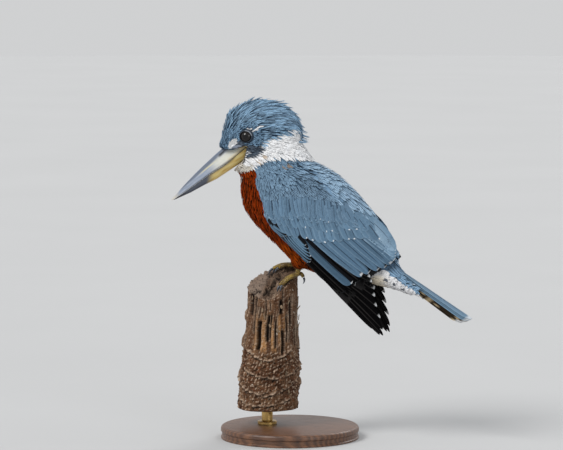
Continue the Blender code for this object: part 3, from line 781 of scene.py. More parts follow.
@dataclass(frozen=True)
class LieOfCoat:
    """Which way the feathers lie, from a few ways set at places seen from the side."""

    ways: tuple = (
        (-69.0, 289.0, 0.20, 0.98), (-67.0, 305.0, 0.42, 0.90), (-58.0, 320.0, 0.70, 0.71),
        (-45.0, 328.0, 0.88, 0.47), (-25.0, 333.0, 0.98, 0.18), (-5.0, 329.0, 0.98, -0.14),
        (6.0, 317.0, 0.93, -0.36), (14.0, 300.0, 0.80, -0.60), (-50.0, 312.0, 0.86, 0.50),
        (-41.0, 305.0, 0.96, 0.26), (-30.0, 312.0, 0.98, 0.18), (-10.0, 312.0, 0.99, -0.05),
        (-25.0, 298.0, 0.99, 0.05), (-5.0, 300.0, 0.97, -0.22), (-53.0, 297.0, 0.80, 0.60),
        (-58.0, 291.0, 0.72, 0.69), (-50.0, 289.0, 0.99, 0.10), (-40.0, 281.0, 0.93, -0.20),
        (-30.0, 283.0, 0.90, -0.42), (-18.0, 286.0, 0.83, -0.56), (0.0, 288.0, 0.80, -0.60),
        (15.0, 284.0, 0.66, -0.75), (-55.0, 262.0, 0.90, -0.30), (-42.0, 264.0, 0.86, -0.50),
        (-28.0, 272.0, 0.58, -0.81), (0.0, 276.0, 0.62, -0.78), (-50.0, 247.0, 0.22, -0.98),
        (-46.0, 228.0, 0.42, -0.91), (-28.0, 203.0, 0.66, -0.75), (0.0, 180.0, 0.78, -0.62),
        (30.0, 164.0, 0.92, -0.38), (60.0, 158.0, 0.98, -0.16), (-22.0, 258.0, 0.35, -0.94),
        (-15.0, 240.0, 0.38, -0.93), (5.0, 222.0, 0.46, -0.89), (25.0, 212.0, 0.50, -0.87),
        (50.0, 215.0, 0.54, -0.84), (75.0, 212.0, 0.58, -0.81), (5.0, 250.0, 0.52, -0.85),
        (30.0, 240.0, 0.60, -0.80), (25.0, 268.0, 0.82, -0.57), (50.0, 256.0, 0.78, -0.62),
        (75.0, 236.0, 0.72, -0.69), (100.0, 205.0, 0.60, -0.80), (112.0, 180.0, 0.66, -0.75),
        (125.0, 160.0, 0.80, -0.60), (150.0, 142.0, 0.84, -0.54), (95.0, 160.0, 0.94, -0.34),
        (120.0, 150.0, 0.90, -0.43),
    )
    reach: float = 7.0

    def way(self, straight: Array) -> Array:
        """The lie at some places, before it is laid flat on the surface.

        Args:
            straight: (n, 3) places on the straight bird.

        Returns:
            (n, 3) ways of length one.
        """
        table = np.asarray(self.ways)
        gap = ((straight[:, None, [0, 2]] - table[None, :, :2]) ** 2).sum(-1)
        share = 1.0 / (gap + self.reach ** 2) ** 2
        flat = (share[..., None] * table[None, :, 2:]).sum(1)
        return unit(np.column_stack([flat[:, 0], np.zeros(len(flat)), flat[:, 1]]))


LIE = LieOfCoat()


# ------------------------------------------------------------------ vanes

def small_unwraps(straight: Array, steps: Array) -> tuple[Array, Array]:
    """Each small vane's own unwrap, and its patch on the skin's unwrap.

    Args:
        straight: (n, 3) roots on the straight bird.
        steps: Stations from root to tip, from 0 to 1.

    Returns:
        Both unwraps, each (n, stations, 3, 2).
    """
    local = np.empty((len(straight), len(steps), 3, 2))
    local[..., 0] = np.array([0.0, 0.5, 1.0])
    local[..., 1] = steps[:, None]
    patch = (local - np.array([0.5, 0.0])) * SMALL_PATCH
    return local, UNWRAP(straight)[:, None, None, :] + patch


@dataclass
class Vanes:
    """A stock of feather vanes of one shape, each a closed thin wedge.

    All vanes of one stock have the same rows from root to tip and the same places in a row.
    """

    places: list = field(default_factory=list)
    colours: list = field(default_factory=list)
    locals: list = field(default_factory=list)
    bakes: list = field(default_factory=list)

    def add(self, places: Array, colours: Array, local: Array, bake: Array) -> None:
        """Add vanes.

        Args:
            places: (n, stations, across, 3) in millimetres.
            colours: (n, stations, across, 4) in linear light.
            local: (n, stations, across, 2), across from 0 to 1 and along from 0 to 1.
            bake: (n, stations, across, 2) places on the unwrap.
        """
        self.places.append(places)
        self.colours.append(colours)
        self.locals.append(local)
        self.bakes.append(bake)

    def mesh(self, name: str) -> bpy.types.Mesh:
        """All the vanes as one mesh, turned with the head.

        Args:
            name: Name of the mesh.

        Returns:
            The mesh.
        """
        spots = np.concatenate(self.places)
        count, rows, cols = spots.shape[:3]
        local = np.arange(rows * cols).reshape(rows, cols)
        quads = [(local[r, c], local[r + 1, c], local[r + 1, c + 1], local[r, c + 1])
                 for r in range(rows - 1) for c in range(cols - 1)]
        quads += [(local[r, -1], local[r + 1, -1], local[r + 1, 0], local[r, 0])
                  for r in range(rows - 1)]
        quads = np.array(quads)
        ends = np.array([local[0], local[-1, ::-1]])
        base = (np.arange(count) * rows * cols)[:, None, None]
        all_quads = (base + quads[None]).reshape(-1)
        all_ends = (base + ends[None]).reshape(-1)
        sizes = np.concatenate([np.full(count * len(quads), 4), np.full(count * 2, cols)])
        mesh = bpy.data.meshes.new(name)
        mesh.vertices.add(count * rows * cols)
        mesh.loops.add(len(all_quads) + len(all_ends))
        mesh.polygons.add(len(sizes))
        mesh.vertices.foreach_set("co", (spots.reshape(-1, 3) * MM).astype(np.float32).ravel())
        mesh.loops.foreach_set("vertex_index", np.concatenate([all_quads, all_ends]).astype(np.int32))
        starts = np.concatenate([[0], np.cumsum(sizes)[:-1]])
        mesh.polygons.foreach_set("loop_start", starts.astype(np.int32))
        mesh.polygons.foreach_set("loop_total", sizes.astype(np.int32))
        mesh.polygons.foreach_set("use_smooth", np.ones(len(sizes), bool))
        mesh.update(calc_edges=True)
        pairs = np.empty(len(mesh.edges) * 2, np.int32)
        mesh.edges.foreach_get("vertices", pairs)
        rim = pairs.reshape(-1, 2) % cols
        sharp = (rim[:, 0] == rim[:, 1]) & ((rim[:, 0] == 0) | (rim[:, 0] == cols - 1))
        layer = mesh.attributes.new("sharp_edge", "BOOLEAN", "EDGE")
        layer.data.foreach_set("value", sharp)
        add_uv(mesh, "OFBake", np.concatenate(self.bakes).reshape(-1, 2))
        add_uv(mesh, "vane", np.concatenate(self.locals).reshape(-1, 2))
        paint(mesh, np.concatenate(self.colours).reshape(-1, 4))
        return mesh


@dataclass(frozen=True)
class Tract:
    """One tract of the plumage, with the size, set and colour of its feathers."""

    name: str
    slot: str
    gap: float
    long: float
    wide: float
    outline: Outline
    sink: float
    rise: float
    lift: float = 0.0
    stray: float = 7.0
    cup: float = 0.16
    shaft: float = 0.8
    pale: Triple = (110, 140, 165)
    dark: Triple = (70, 98, 122)
    edge: Triple = (132, 160, 182)
    edge_share: float = 0.5
    # Share of feathers that get a fleck: on the rufous tracts a dark one, painted shade of the gaps between feathers;
    # elsewhere a pale speck.
    fleck: float = 0.0
    clump: float = 0.0
    spread: float = 0.22
    tilt: float = 0.0
    profile: float = 1.6


TRACTS: dict[str, Tract] = {t.name: t for t in (
    Tract("crest", "slate_plumage", 1.85, 13.5, 1.9, Outline.LANCE, 1.5, 0.4, lift=0.5, stray=3.5, cup=0.28,
          pale=(154, 196, 230), dark=(44, 70, 96), edge=(184, 218, 246), edge_share=0.5, clump=0.25,
          shaft=0.95, spread=0.34, profile=1.1),
    Tract("face", "slate_plumage", 1.05, 4.0, 1.1, Outline.LANCE, 0.5, 0.3, stray=5.0,
          pale=(132, 170, 203), dark=(52, 79, 106), edge=(164, 200, 230), clump=0.25, spread=0.34),
    Tract("malar", "slate_plumage", 1.15, 5.5, 1.1, Outline.LOCK, 0.5, 0.35, stray=8.0,
          pale=(92, 108, 126), dark=(28, 35, 46), edge=(124, 138, 154), clump=0.35, spread=0.34),
    Tract("collar", "white_plumage", 1.35, 8.5, 1.9, Outline.LOCK, 0.9, 0.35, lift=0.15, stray=3.5, cup=0.10,
          shaft=0.0, pale=(252, 252, 253), dark=(234, 237, 241), edge=(255, 255, 255), clump=0.3),
    Tract("throat", "white_plumage", 1.05, 6.0, 0.95, Outline.LANCE, 0.8, 0.35, lift=0.1, stray=4.0,
          shaft=0.0, pale=(246, 242, 232), dark=(206, 192, 170), edge=(252, 250, 244), clump=0.3,
          spread=0.3),
    Tract("breast", "rufous_plumage", 2.0, 8.4, 2.0, Outline.LANCE, 1.4, 0.45, lift=0.2, stray=7.0,
          shaft=0.3, pale=(130, 40, 8), dark=(28, 8, 2), edge=(188, 78, 16), fleck=0.24, clump=0.35,
          spread=0.5),
    Tract("belly", "rufous_plumage", 2.4, 11.0, 2.5, Outline.LANCE, 1.6, 0.45, lift=0.2, stray=7.0,
          shaft=0.15, pale=(160, 66, 10), dark=(52, 15, 3), edge=(196, 90, 20), fleck=0.1, clump=0.3,
          spread=0.3),
    Tract("thigh", "rufous_plumage", 1.7, 6.0, 1.6, Outline.LOCK, 0.8, 0.4, stray=9.0,
          shaft=0.1, pale=(136, 54, 12), dark=(66, 20, 5), edge=(174, 78, 22), clump=0.35),
    Tract("mantle", "slate_plumage", 2.4, 13.0, 2.2, Outline.LANCE, 1.4, 0.3, stray=1.6, cup=0.08,
          tilt=0.12, pale=(148, 183, 213), dark=(88, 119, 147), edge=(168, 200, 227), shaft=0.95,
          spread=0.2, profile=1.0),
    Tract("scapular", "slate_plumage", 3.9, 25.0, 3.4, Outline.STRAP, 2.2, 0.25, stray=1.0, cup=0.03,
          tilt=0.1, pale=(158, 190, 217), dark=(116, 148, 176), edge=(174, 204, 228), shaft=0.9,
          spread=0.2, profile=1.0),
    Tract("shoulder", "slate_plumage", 1.75, 7.5, 1.8, Outline.LANCE, 0.9, 0.3, stray=4.0, cup=0.1,
          tilt=0.1, pale=(130, 164, 193), dark=(66, 94, 120), edge=(164, 196, 222), shaft=0.95,
          clump=0.1, spread=0.22, profile=1.0),
    Tract("lesser", "slate_plumage", 2.15, 9.0, 2.4, Outline.LANCE, 1.0, 0.25, stray=3.0, cup=0.06,
          tilt=0.14, pale=(118, 148, 174), dark=(70, 97, 122), edge=(150, 180, 205), shaft=0.95,
          fleck=0.006, spread=0.2, profile=1.0),
    Tract("rump", "slate_plumage", 3.2, 14.0, 4.2, Outline.LANCE, 1.8, 0.2, stray=1.5, cup=0.05, profile=1.0,
          pale=(126, 160, 190), dark=(87, 117, 145), edge=(154, 187, 214), fleck=0.02),
    Tract("vent", "white_plumage", 2.3, 10.0, 4.2, Outline.ROUND, 1.5, 0.2, stray=3.0, profile=1.0,
          shaft=0.0, pale=(226, 226, 228), dark=(206, 206, 208), edge=(232, 233, 235)),
)}


@dataclass(frozen=True)
class Markings:
    """The bird's markings, as shapes seen from the side of the straight bird."""

    collar_top: tuple = ((-75.0, 276.0), (-50.0, 277.0), (-45.0, 271.0), (-38.5, 275.5), (-34.0, 280.0),
                         (-28.0, 287.5), (-24.0, 293.0), (-16.0, 296.4), (-4.4, 300.0), (2.4, 305.5),
                         (8.0, 306.5), (14.0, 303.0), (18.5, 298.5), (26.0, 294.0))
    collar_foot: tuple = ((-75.0, 262.0), (-52.0, 263.5), (-44.0, 264.5), (-38.5, 267.0), (-34.0, 272.5),
                          (-27.0, 275.5), (-23.4, 277.5), (-12.7, 278.5), (-1.1, 279.0), (8.3, 279.2),
                          (17.0, 278.6), (23.5, 277.5), (45.0, 275.0))
    flank: tuple = ((-60.0, 280.0), (-37.5, 270.0), (-36.0, 262.5), (-31.0, 261.5), (-25.0, 256.5),
                    (-18.0, 245.0), (-15.0, 233.0), (-12.5, 220.0), (-5.0, 207.0), (10.0, 195.0),
                    (30.0, 182.0), (50.0, 172.0), (75.0, 168.0), (87.0, 173.0), (100.0, 169.5),
                    (113.0, 161.8), (126.0, 151.6), (140.0, 142.0))
    vent_from: float = 70.0
    malar: tuple = ((-43.0, 288.5), (-47.0, 283.0), (-47.0, 276.4), (-38.4, 277.6), (-32.3, 280.6),
                    (-24.5, 285.6), (-30.2, 288.0), (-37.0, 289.0))
    chin: tuple = ((-43.0, 288.5), (-47.5, 283.0), (-47.5, 270.0), (-38.4, 274.0), (-32.3, 278.0),
                   (-24.5, 284.6), (-30.2, 288.0), (-37.0, 289.0))
    bare_lore: tuple = ((-59.5, 284.2), (-56.4, 288.6), (-51.5, 291.6), (-47.5, 293.0), (-43.5, 290.0),
                        (-40.5, 289.0), (-42.0, 286.8), (-47.0, 284.5))
    lore_spot: tuple = ((-60.3, 284.0), (-60.5, 289.6), (-55.2, 294.2), (-52.2, 294.4), (-52.2, 291.0),
                        (-57.2, 284.4))
    brow: tuple = ((-43.0, 303.6), (-38.0, 303.2), (-35.0, 302.6), (-32.0, 304.4), (-28.5, 307.6))
    gape: tuple = ((-48.0, 284.6), (-43.0, 286.8), (-36.0, 288.9))
    eye: Pair = (-41.2, 296.9)
    eye_room: float = 6.4
    face_reach: float = 14.0
    cheek_from: float = 6.0
    buff_line: tuple = ((-33.6, 275.9), (-26.0, 281.3), (-25.4, 280.2), (-33.0, 274.7))
    # Line of the gap between the mantle and the wing: behind slit_dark_from its feathers are painted dark, as dark
    # bases with painted shadow in the gap; in front of it they are buff.
    wing_slit: tuple = ((-5.6, 271.2), (3.2, 271.8), (10.8, 271.6), (15.1, 271.0), (20.5, 268.4),
                        (26.5, 264.4), (31.5, 259.2), (37.0, 254.6), (45.0, 247.4))
    slit_dark_from: float = 9.0
    back_tracts: tuple = ("mantle", "scapular", "shoulder", "lesser")
    bib: tuple = ((209.0, -9.0), (212.0, -10.5), (221.5, -16.3), (229.4, -17.4), (237.3, -18.5),
                  (250.8, -25.0), (256.0, -25.4), (264.0, -33.0))
    scapulars: tuple = ((13.0, 273.0), (22.0, 268.0), (30.0, 262.5), (35.0, 257.0), (41.0, 251.5),
                        (50.0, 243.0), (62.0, 231.0), (75.0, 221.0), (90.0, 209.0), (100.0, 203.0),
                        (125.0, 200.0), (125.0, 300.0), (13.0, 300.0))
    vent_spots: tuple = ((88.5, 172.0, 1.5), (94.5, 168.6, 1.4), (94.0, 162.0, 1.2), (103.5, 160.0, 1.6),
                         (112.0, 154.0, 1.3))

    def on_cheek(self, straight: Array, shape: tuple) -> Array:
        """Which places lie within a shape on either side of the head."""
        return inside(straight[:, [0, 2]], shape) & (np.abs(straight[:, 1]) > self.cheek_from)

    def tract_names(self, straight: Array, on_wing: Array, on_thigh: Array) -> Array:
        """The tract of each place.

        Args:
            straight: (n, 3) places on the straight bird.
            on_wing: True where a place is on a wing.
            on_thigh: True where it is on a thigh.

        Returns:
            Names of tracts.
        """
        x, y, z = straight.T
        flat = straight[:, [0, 2]]
        names = np.full(len(x), "mantle", dtype="<U9")
        names[(z < along(self.flank, x))] = "belly"
        names[(names == "belly") & (z > 196.0)] = "breast"
        names[(names == "belly") & (x > self.vent_from)] = "vent"
        names[(names == "mantle") & (x > 100.0) & (z < 196.0)] = "rump"
        names[(names == "mantle") & (x < 8.0) & (np.abs(y) > 14.0)] = "shoulder"
        names[on_thigh & (names != "mantle")] = "thigh"
        names[on_wing] = "lesser"
        names[on_wing & (z > 246.0 + 0.5 * x) & (x < 12.0)] = "shoulder"
        names[inside(flat, self.scapulars)] = "scapular"
        ahead = (x < along(self.bib, z)) & (z > 209.0) & (z < 266.0)
        names[ahead & np.isin(names, ("shoulder", "lesser", "mantle"))] = "breast"
        low = z > along(self.collar_foot, x)
        names[low & ~on_wing] = "collar"
        names[low & ~on_wing & (x < -38.0) & (z < 274.0)] = "throat"
        high = z > along(self.collar_top, x)
        names[high] = "crest"
        by_eye = (x - self.eye[0]) ** 2 + (z - self.eye[1]) ** 2 < self.face_reach ** 2
        face = high & (by_eye | ((x < -44.0) & (z < 303.0)))
        names[face & ((np.abs(y) > 5.0) | (z < 301.0))] = "face"
        names[self.on_cheek(straight, self.chin)] = "collar"
        names[self.on_cheek(straight, self.malar) | self.on_cheek(straight, self.bare_lore)] = "malar"
        return names

    def on_brow(self, straight: Array) -> Array:
        """Which feathers belong to the thin white line over and behind the eye."""
        x, y, z = straight.T
        ends = (x > self.brow[0][0]) & (x < self.brow[-1][0])
        return ends & (np.abs(z - along(self.brow, x)) < 0.8) & (np.abs(y) > 8.0)

    def feather_tones(self, straight: Array, names: Array, rng: np.random.Generator) -> tuple[Array, ...]:
        """Three tones for each feather, and how strongly its shaft shows.

        Args:
            straight: (n, 3) roots on the straight bird.
            names: Tract of each.
            rng: Source of chance.

        Returns:
            Tones of the root, of the body and of the edge, each (n, 3), and the shaft (n,).
        """
        count = len(straight)
        pale, dark, edge = np.empty((3, count, 3))
        shaft = np.empty(count)
        fleck = np.zeros(count, bool)
        for name, tract in TRACTS.items():
            here = names == name
            pale[here], dark[here], edge[here] = tone(*tract.pale), tone(*tract.dark), tone(*tract.edge)
            shaft[here] = tract.shaft
            fleck[here] = rng.random(int(here.sum())) < tract.fleck
        spread = np.array([TRACTS[n].spread for n in names])
        mix = np.clip(0.62 + 1.5 * spread * rough(straight, 9.0, 5) + rng.normal(0, 1.0, count) * spread,
                      0.0, 1.0)
        body = laid(dark, pale, mix)
        rufous = np.isin(names, ("breast", "belly", "thigh"))
        # Dark flecks on the rufous tracts are painted shade of the gaps between feathers; the pale specks on the other
        # tracts are the feathers' own colour.
        body[fleck & rufous] = tone(46, 18, 10)
        body[fleck & ~rufous] = tone(196, 208, 218)

        def dye(mask: Array, middle: Triple, rim: Triple) -> None:
            """Give some feathers tones of their own."""
            body[mask], edge[mask] = tone(*middle), tone(*rim)

        x, z = straight[:, 0], straight[:, 2]
        white = self.on_cheek(straight, self.lore_spot) | self.on_brow(straight)
        white |= (names == "malar") & (rng.random(count) < 0.3) & (z < 284.0)
        dye(white, (248, 249, 250), (252, 252, 253))
        shaft[white] = 0.0
        dye(inside(straight[:, [0, 2]], self.buff_line), (216, 196, 174), (224, 206, 186))
        away = np.abs(z - along(self.wing_slit, x))
        on_slit = (x > self.wing_slit[0][0]) & (x < self.wing_slit[-1][0]) & np.isin(names, self.back_tracts)
        often = rng.random(count) < np.where(x < 36.0, 0.75, 0.4)
        # Painted shadow in the gap between the mantle and the wing, together with the dark feather bases that show
        # there.
        dye(on_slit & (away < 1.2) & often & (x > self.slit_dark_from), (16, 22, 32), (60, 82, 104))
        dye(on_slit & (away < 0.8) & (x < self.slit_dark_from), (158, 142, 128), (168, 152, 140))
        spots = np.zeros(count, bool)
        for sx, sz, size in self.vent_spots:
            spots |= ((x - sx) ** 2 + (z - sz) ** 2 < size ** 2)
        vent = names == "vent"
        spots &= vent
        cream = 0.8 * ease(100.0, 86.0, x) * vent
        body, edge = laid(body, tone(206, 192, 164), cream), laid(edge, tone(214, 202, 178), cream)
        dye(spots, (78, 83, 92), (132, 136, 144))
        root = body * np.where(vent, 0.9, 0.55)[:, None]
        root[spots] = tone(206, 208, 212)
        root[white] *= 1.6
        return root, body, edge, shaft

    def skin_tone(self, straight: Array, names: Array) -> Array:
        """The tone of the skin and down under each tract."""
        base = np.empty((len(straight), 3))
        for name, tract in TRACTS.items():
            base[names == name] = tone(*tract.dark) * (0.95 if name in ("scapular", "mantle") else 0.62)
        flat = straight[:, [0, 2]]
        base[self.on_cheek(straight, self.bare_lore)] = tone(120, 128, 142)
        base[self.on_cheek(straight, self.lore_spot)] = tone(240, 242, 244)
        gape = np.abs(straight[:, 2] - along(self.gape, straight[:, 0]))
        on_gape = (straight[:, 0] > -50.0) & (straight[:, 0] < -36.0)
        on_gape &= np.abs(straight[:, 1]) > self.cheek_from
        base[on_gape & (gape < 1.7)] = tone(40, 40, 44)
        base[on_gape & (gape < 0.6)] = tone(186, 160, 92)
        # Skin under the quills is painted near black: painted shade where it shows between the quills and the body.
        base[(names == "lesser") & (straight[:, 2] < 206.0)] = tone(14, 15, 18)
        near_eye = ((flat - np.array(self.eye)) ** 2).sum(1) < 9.5 ** 2
        base[near_eye] = tone(44, 52, 63)
        return base


MARKS = Markings()


# ------------------------------------------------------------------ finishes

def new_group(name: str, takes: tuple, gives: tuple) -> tuple:
    """Start a shader node group with named sockets.

    Args:
        name: Name of the group.
        takes: (name, kind, value) of each input.
        gives: (name, kind) of each output.

    Returns:
        The group, its input node and its output node.
    """
    group = bpy.data.node_groups.new(name, "ShaderNodeTree")
    for label, kind, value in takes:
        socket = group.interface.new_socket(label, in_out="INPUT", socket_type=kind)
        if value is not None:
            socket.default_value = value
    for label, kind in gives:
        group.interface.new_socket(label, in_out="OUTPUT", socket_type=kind)
    return group, group.nodes.new("NodeGroupInput"), group.nodes.new("NodeGroupOutput")


class Nodes:
    """A short hand for placing and joining shader nodes in one tree."""

    def __init__(self, tree: bpy.types.NodeTree) -> None:
        """Keep the tree to work in."""
        self.tree = tree

    def add(self, kind: str, **settings: object) -> bpy.types.Node:
        """Place a node.

        Args:
            kind: The node's type.
            settings: Its properties.

        Returns:
            The node.
        """
        node = self.tree.nodes.new(kind)
        for key, value in settings.items():
            setattr(node, key, value)
        return node

    def join(self, source: object, target: object) -> None:
        """Link an output to an input."""
        self.tree.links.new(source, target)

    def maths(self, work: str, first: object, second: object = 0.0) -> object:
        """A Math node's output.

        Args:
            work: The operation.
            first: A socket or a number.
            second: A socket or a number.

        Returns:
            The output socket.
        """
        node = self.add("ShaderNodeMath", operation=work)
        for socket, value in zip(node.inputs, (first, second)):
            if isinstance(value, bpy.types.NodeSocket):
                self.join(value, socket)
            else:
                socket.default_value = value
        return node.outputs[0]

    def span(self, value: object, low: float, high: float, start: float = 0.0, end: float = 1.0) -> object:
        """A value mapped smoothly from one range to another."""
        node = self.add("ShaderNodeMapRange", interpolation_type="SMOOTHSTEP")
        self.join(value, node.inputs["Value"])
        for label, number in zip(("From Min", "From Max", "To Min", "To Max"), (low, high, start, end)):
            node.inputs[label].default_value = number
        return node.outputs["Result"]

    def blend(self, share: object, first: object, second: object, way: str = "MIX") -> object:
        """A colour mixed from two.

        Args:
            share: A socket or number from 0 to 1.
            first: A socket or colour.
            second: A socket or colour.
            way: How they mix.

        Returns:
            The output socket.
        """
        node = self.add("ShaderNodeMix", data_type="RGBA", blend_type=way)
        for socket, value in zip((node.inputs[0], node.inputs[6], node.inputs[7]), (share, first, second)):
            if isinstance(value, bpy.types.NodeSocket):
                self.join(value, socket)
            else:
                socket.default_value = value if isinstance(value, float) else (*value, 1.0)
        return node.outputs[2]

    def stretched(self, scale: Triple) -> object:
        """Coordinates of the object, scaled along each axis."""
        where = self.add("ShaderNodeTexCoord")
        mapping = self.add("ShaderNodeMapping")
        mapping.inputs["Scale"].default_value = scale
        self.join(where.outputs["Object"], mapping.inputs["Vector"])
        return mapping.outputs[0]

    def noise(self, where: object, scale: float, detail: float = 3.0) -> object:
        """The value of a noise texture over some coordinates."""
        node = self.add("ShaderNodeTexNoise")
        node.inputs["Scale"].default_value = scale
        node.inputs["Detail"].default_value = detail
        self.join(where, node.inputs["Vector"])
        return node.outputs["Fac"]


class SharedEffects:
    """Node groups that more than one finish uses, each built once."""

    def __init__(self) -> None:
        """Build the groups."""
        self.barbs = self._barbs()
        self.grain = self._grain()

    @staticmethod
    def _barbs() -> bpy.types.NodeTree:
        """The shaft and barbs of a vane: streaks that slant back from a dark shaft."""
        group, takes, gives = new_group(
            "vane_barbs",
            (("Colour", "NodeSocketColor", None), ("Vane", "NodeSocketVector", None),
             ("Shaft", "NodeSocketFloat", 0.6), ("Shaft Width", "NodeSocketFloat", 0.11),
             ("Barb Count", "NodeSocketFloat", 14.0), ("Barb Contrast", "NodeSocketFloat", 0.2)),
            (("Colour", "NodeSocketColor"), ("Height", "NodeSocketFloat")))
        kit = Nodes(group)
        parts = kit.add("ShaderNodeSeparateXYZ")
        kit.join(takes.outputs["Vane"], parts.inputs[0])
        off = kit.maths("ABSOLUTE", kit.maths("SUBTRACT", parts.outputs[0], 0.5))
        run = kit.maths("SUBTRACT", parts.outputs[1], kit.maths("MULTIPLY", off, 0.7))
        turns = kit.maths("MULTIPLY", run, takes.outputs["Barb Count"])
        wave = kit.maths("SINE", kit.maths("MULTIPLY", turns, math.tau))
        barb = kit.maths("MULTIPLY", kit.maths("ADD", wave, 1.0), 0.5)
        dim = kit.maths("SUBTRACT", 1.0, kit.maths("MULTIPLY", barb, takes.outputs["Barb Contrast"]))
        streaked = kit.blend(1.0, takes.outputs["Colour"], dim, "MULTIPLY")
        edge = kit.maths("DIVIDE", off, takes.outputs["Shaft Width"])
        shaft = kit.maths("SUBTRACT", 1.0, kit.span(edge, 0.35, 1.0))
        fade = kit.span(parts.outputs[1], 1.0, 0.72)
        mask = kit.maths("MULTIPLY", kit.maths("MULTIPLY", shaft, fade), takes.outputs["Shaft"])
        dark = kit.blend(1.0, streaked, (0.16, 0.17, 0.2), "MULTIPLY")
        kit.join(kit.blend(mask, streaked, dark), gives.inputs["Colour"])
        kit.join(kit.maths("ADD", kit.maths("MULTIPLY", barb, 0.5), shaft), gives.inputs["Height"])
        return group

    @staticmethod
    def _grain() -> bpy.types.NodeTree:
        """Fine uneven grain in object space: it varies a colour and gives a height."""
        group, takes, gives = new_group(
            "fine_grain",
            (("Colour", "NodeSocketColor", None), ("Scale", "NodeSocketFloat", 300.0),
             ("Stretch", "NodeSocketVector", (1.0, 1.0, 1.0)), ("Contrast", "NodeSocketFloat", 0.3)),
            (("Colour", "NodeSocketColor"), ("Height", "NodeSocketFloat")))
        kit = Nodes(group)
        spot = kit.add("ShaderNodeTexCoord")
        scaled = kit.add("ShaderNodeVectorMath", operation="MULTIPLY")
        kit.join(spot.outputs["Object"], scaled.inputs[0])
        kit.join(takes.outputs["Stretch"], scaled.inputs[1])
        node = kit.add("ShaderNodeTexNoise")
        node.inputs["Detail"].default_value = 5.0
        node.inputs["Roughness"].default_value = 0.62
        kit.join(scaled.outputs[0], node.inputs["Vector"])
        kit.join(takes.outputs["Scale"], node.inputs["Scale"])
        spread = kit.maths("MULTIPLY", kit.maths("SUBTRACT", node.outputs["Fac"], 0.5), 2.0)
        level = kit.maths("ADD", kit.maths("MULTIPLY", spread, takes.outputs["Contrast"]), 1.0)
        kit.join(kit.blend(1.0, takes.outputs["Colour"], level, "MULTIPLY"), gives.inputs["Colour"])
        kit.join(node.outputs["Fac"], gives.inputs["Height"])
        return group


EFFECTS = SharedEffects()


def start_material(name: str, **values: float) -> tuple[bpy.types.Material, Nodes, bpy.types.Node]:
    """A new node material with its shader's plain values set.

    Args:
        name: Name of the material.
        values: Values of the shader's sockets, with underscores for spaces.

    Returns:
        The material, a kit for its tree, and its shader.
    """
    material = bpy.data.materials.new(name)
    material.use_nodes = True
    kit = Nodes(material.node_tree)
    shader = next(n for n in material.node_tree.nodes if n.type == "BSDF_PRINCIPLED")
    for key, value in values.items():
        shader.inputs[key.replace("_", " ")].default_value = value
    return material, kit, shader


def add_bump(kit: Nodes, shader: bpy.types.Node, height: object, depth: float) -> None:
    """Feed a height to a shader's normal through a bump.

    Args:
        kit: Kit of the material's tree.
        shader: The shader.
        height: Height socket.
        depth: Depth of the relief in metres.
    """
    bump = kit.add("ShaderNodeBump")
    bump.inputs["Distance"].default_value = depth
    bump.inputs["Strength"].default_value = 1.0
    kit.join(height, bump.inputs["Height"])
    kit.join(bump.outputs["Normal"], shader.inputs["Normal"])


def add_grain(kit: Nodes, shader: bpy.types.Node, colour: object, **values: object) -> bpy.types.Node:
    """Vary a colour with fine grain and feed it to a shader.

    Args:
        kit: Kit of the material's tree.
        shader: The shader.
        colour: Colour socket.
        values: Values of the grain's other inputs.

    Returns:
        The grain's node.
    """
    grain = kit.add("ShaderNodeGroup", node_tree=EFFECTS.grain)
    for key, value in values.items():
        grain.inputs[key].default_value = value
    kit.join(colour, grain.inputs["Colour"])
    kit.join(grain.outputs["Colour"], shader.inputs["Base Color"])
    return grain


@dataclass(frozen=True)
class VaneFinish:
    """Finish of feathers: painted ground, shaft, barbs and a slight silky sheen."""

    name: str
    roughness: float = 0.62
    gloss: float = 0.09
    shaft_width: float = 0.13
    barb_count: float = 9.0
    barb_contrast: float = 0.24
    relief: float = 0.00016
    grain_scale: float = 420.0
    grain_contrast: float = 0.26

    def make(self) -> bpy.types.Material:
        """Build the material."""
        material, kit, shader = start_material(self.name, Roughness=self.roughness,
                                               Specular_IOR_Level=self.gloss)
        colour = kit.add("ShaderNodeAttribute", attribute_name="plumage")
        vane = kit.add("ShaderNodeUVMap", uv_map="vane")
        barbs = kit.add("ShaderNodeGroup", node_tree=EFFECTS.barbs)
        kit.join(colour.outputs["Color"], barbs.inputs["Colour"])
        kit.join(vane.outputs["UV"], barbs.inputs["Vane"])
        kit.join(colour.outputs["Alpha"], barbs.inputs["Shaft"])
        barbs.inputs["Shaft Width"].default_value = self.shaft_width
        barbs.inputs["Barb Count"].default_value = self.barb_count
        barbs.inputs["Barb Contrast"].default_value = self.barb_contrast
        add_grain(kit, shader, barbs.outputs["Colour"], Scale=self.grain_scale, Contrast=self.grain_contrast)
        add_bump(kit, shader, barbs.outputs["Height"], self.relief)
        return material


@dataclass(frozen=True)
class PaintedFinish:
    """Finish of a surface that carries its own painted tones, with fine grain over them."""

    name: str
    roughness: float = 0.7
    scale: float = 500.0
    stretch: Triple = (1.0, 1.0, 1.0)
    contrast: float = 0.25
    relief: float = 0.0002
    coat: float = 0.0
    gloss: float = 0.2

    def make(self) -> bpy.types.Material:
        """Build the material."""
        material, kit, shader = start_material(self.name, Roughness=self.roughness, Coat_Weight=self.coat,
                                               Coat_Roughness=0.2, Specular_IOR_Level=self.gloss)
        colour = kit.add("ShaderNodeAttribute", attribute_name="plumage")
        grain = add_grain(kit, shader, colour.outputs["Color"], Scale=self.scale, Stretch=self.stretch,
                          Contrast=self.contrast)
        add_bump(kit, shader, grain.outputs["Height"], self.relief)
        return material


# ------------------------------------------------------------------ skin and small feathers

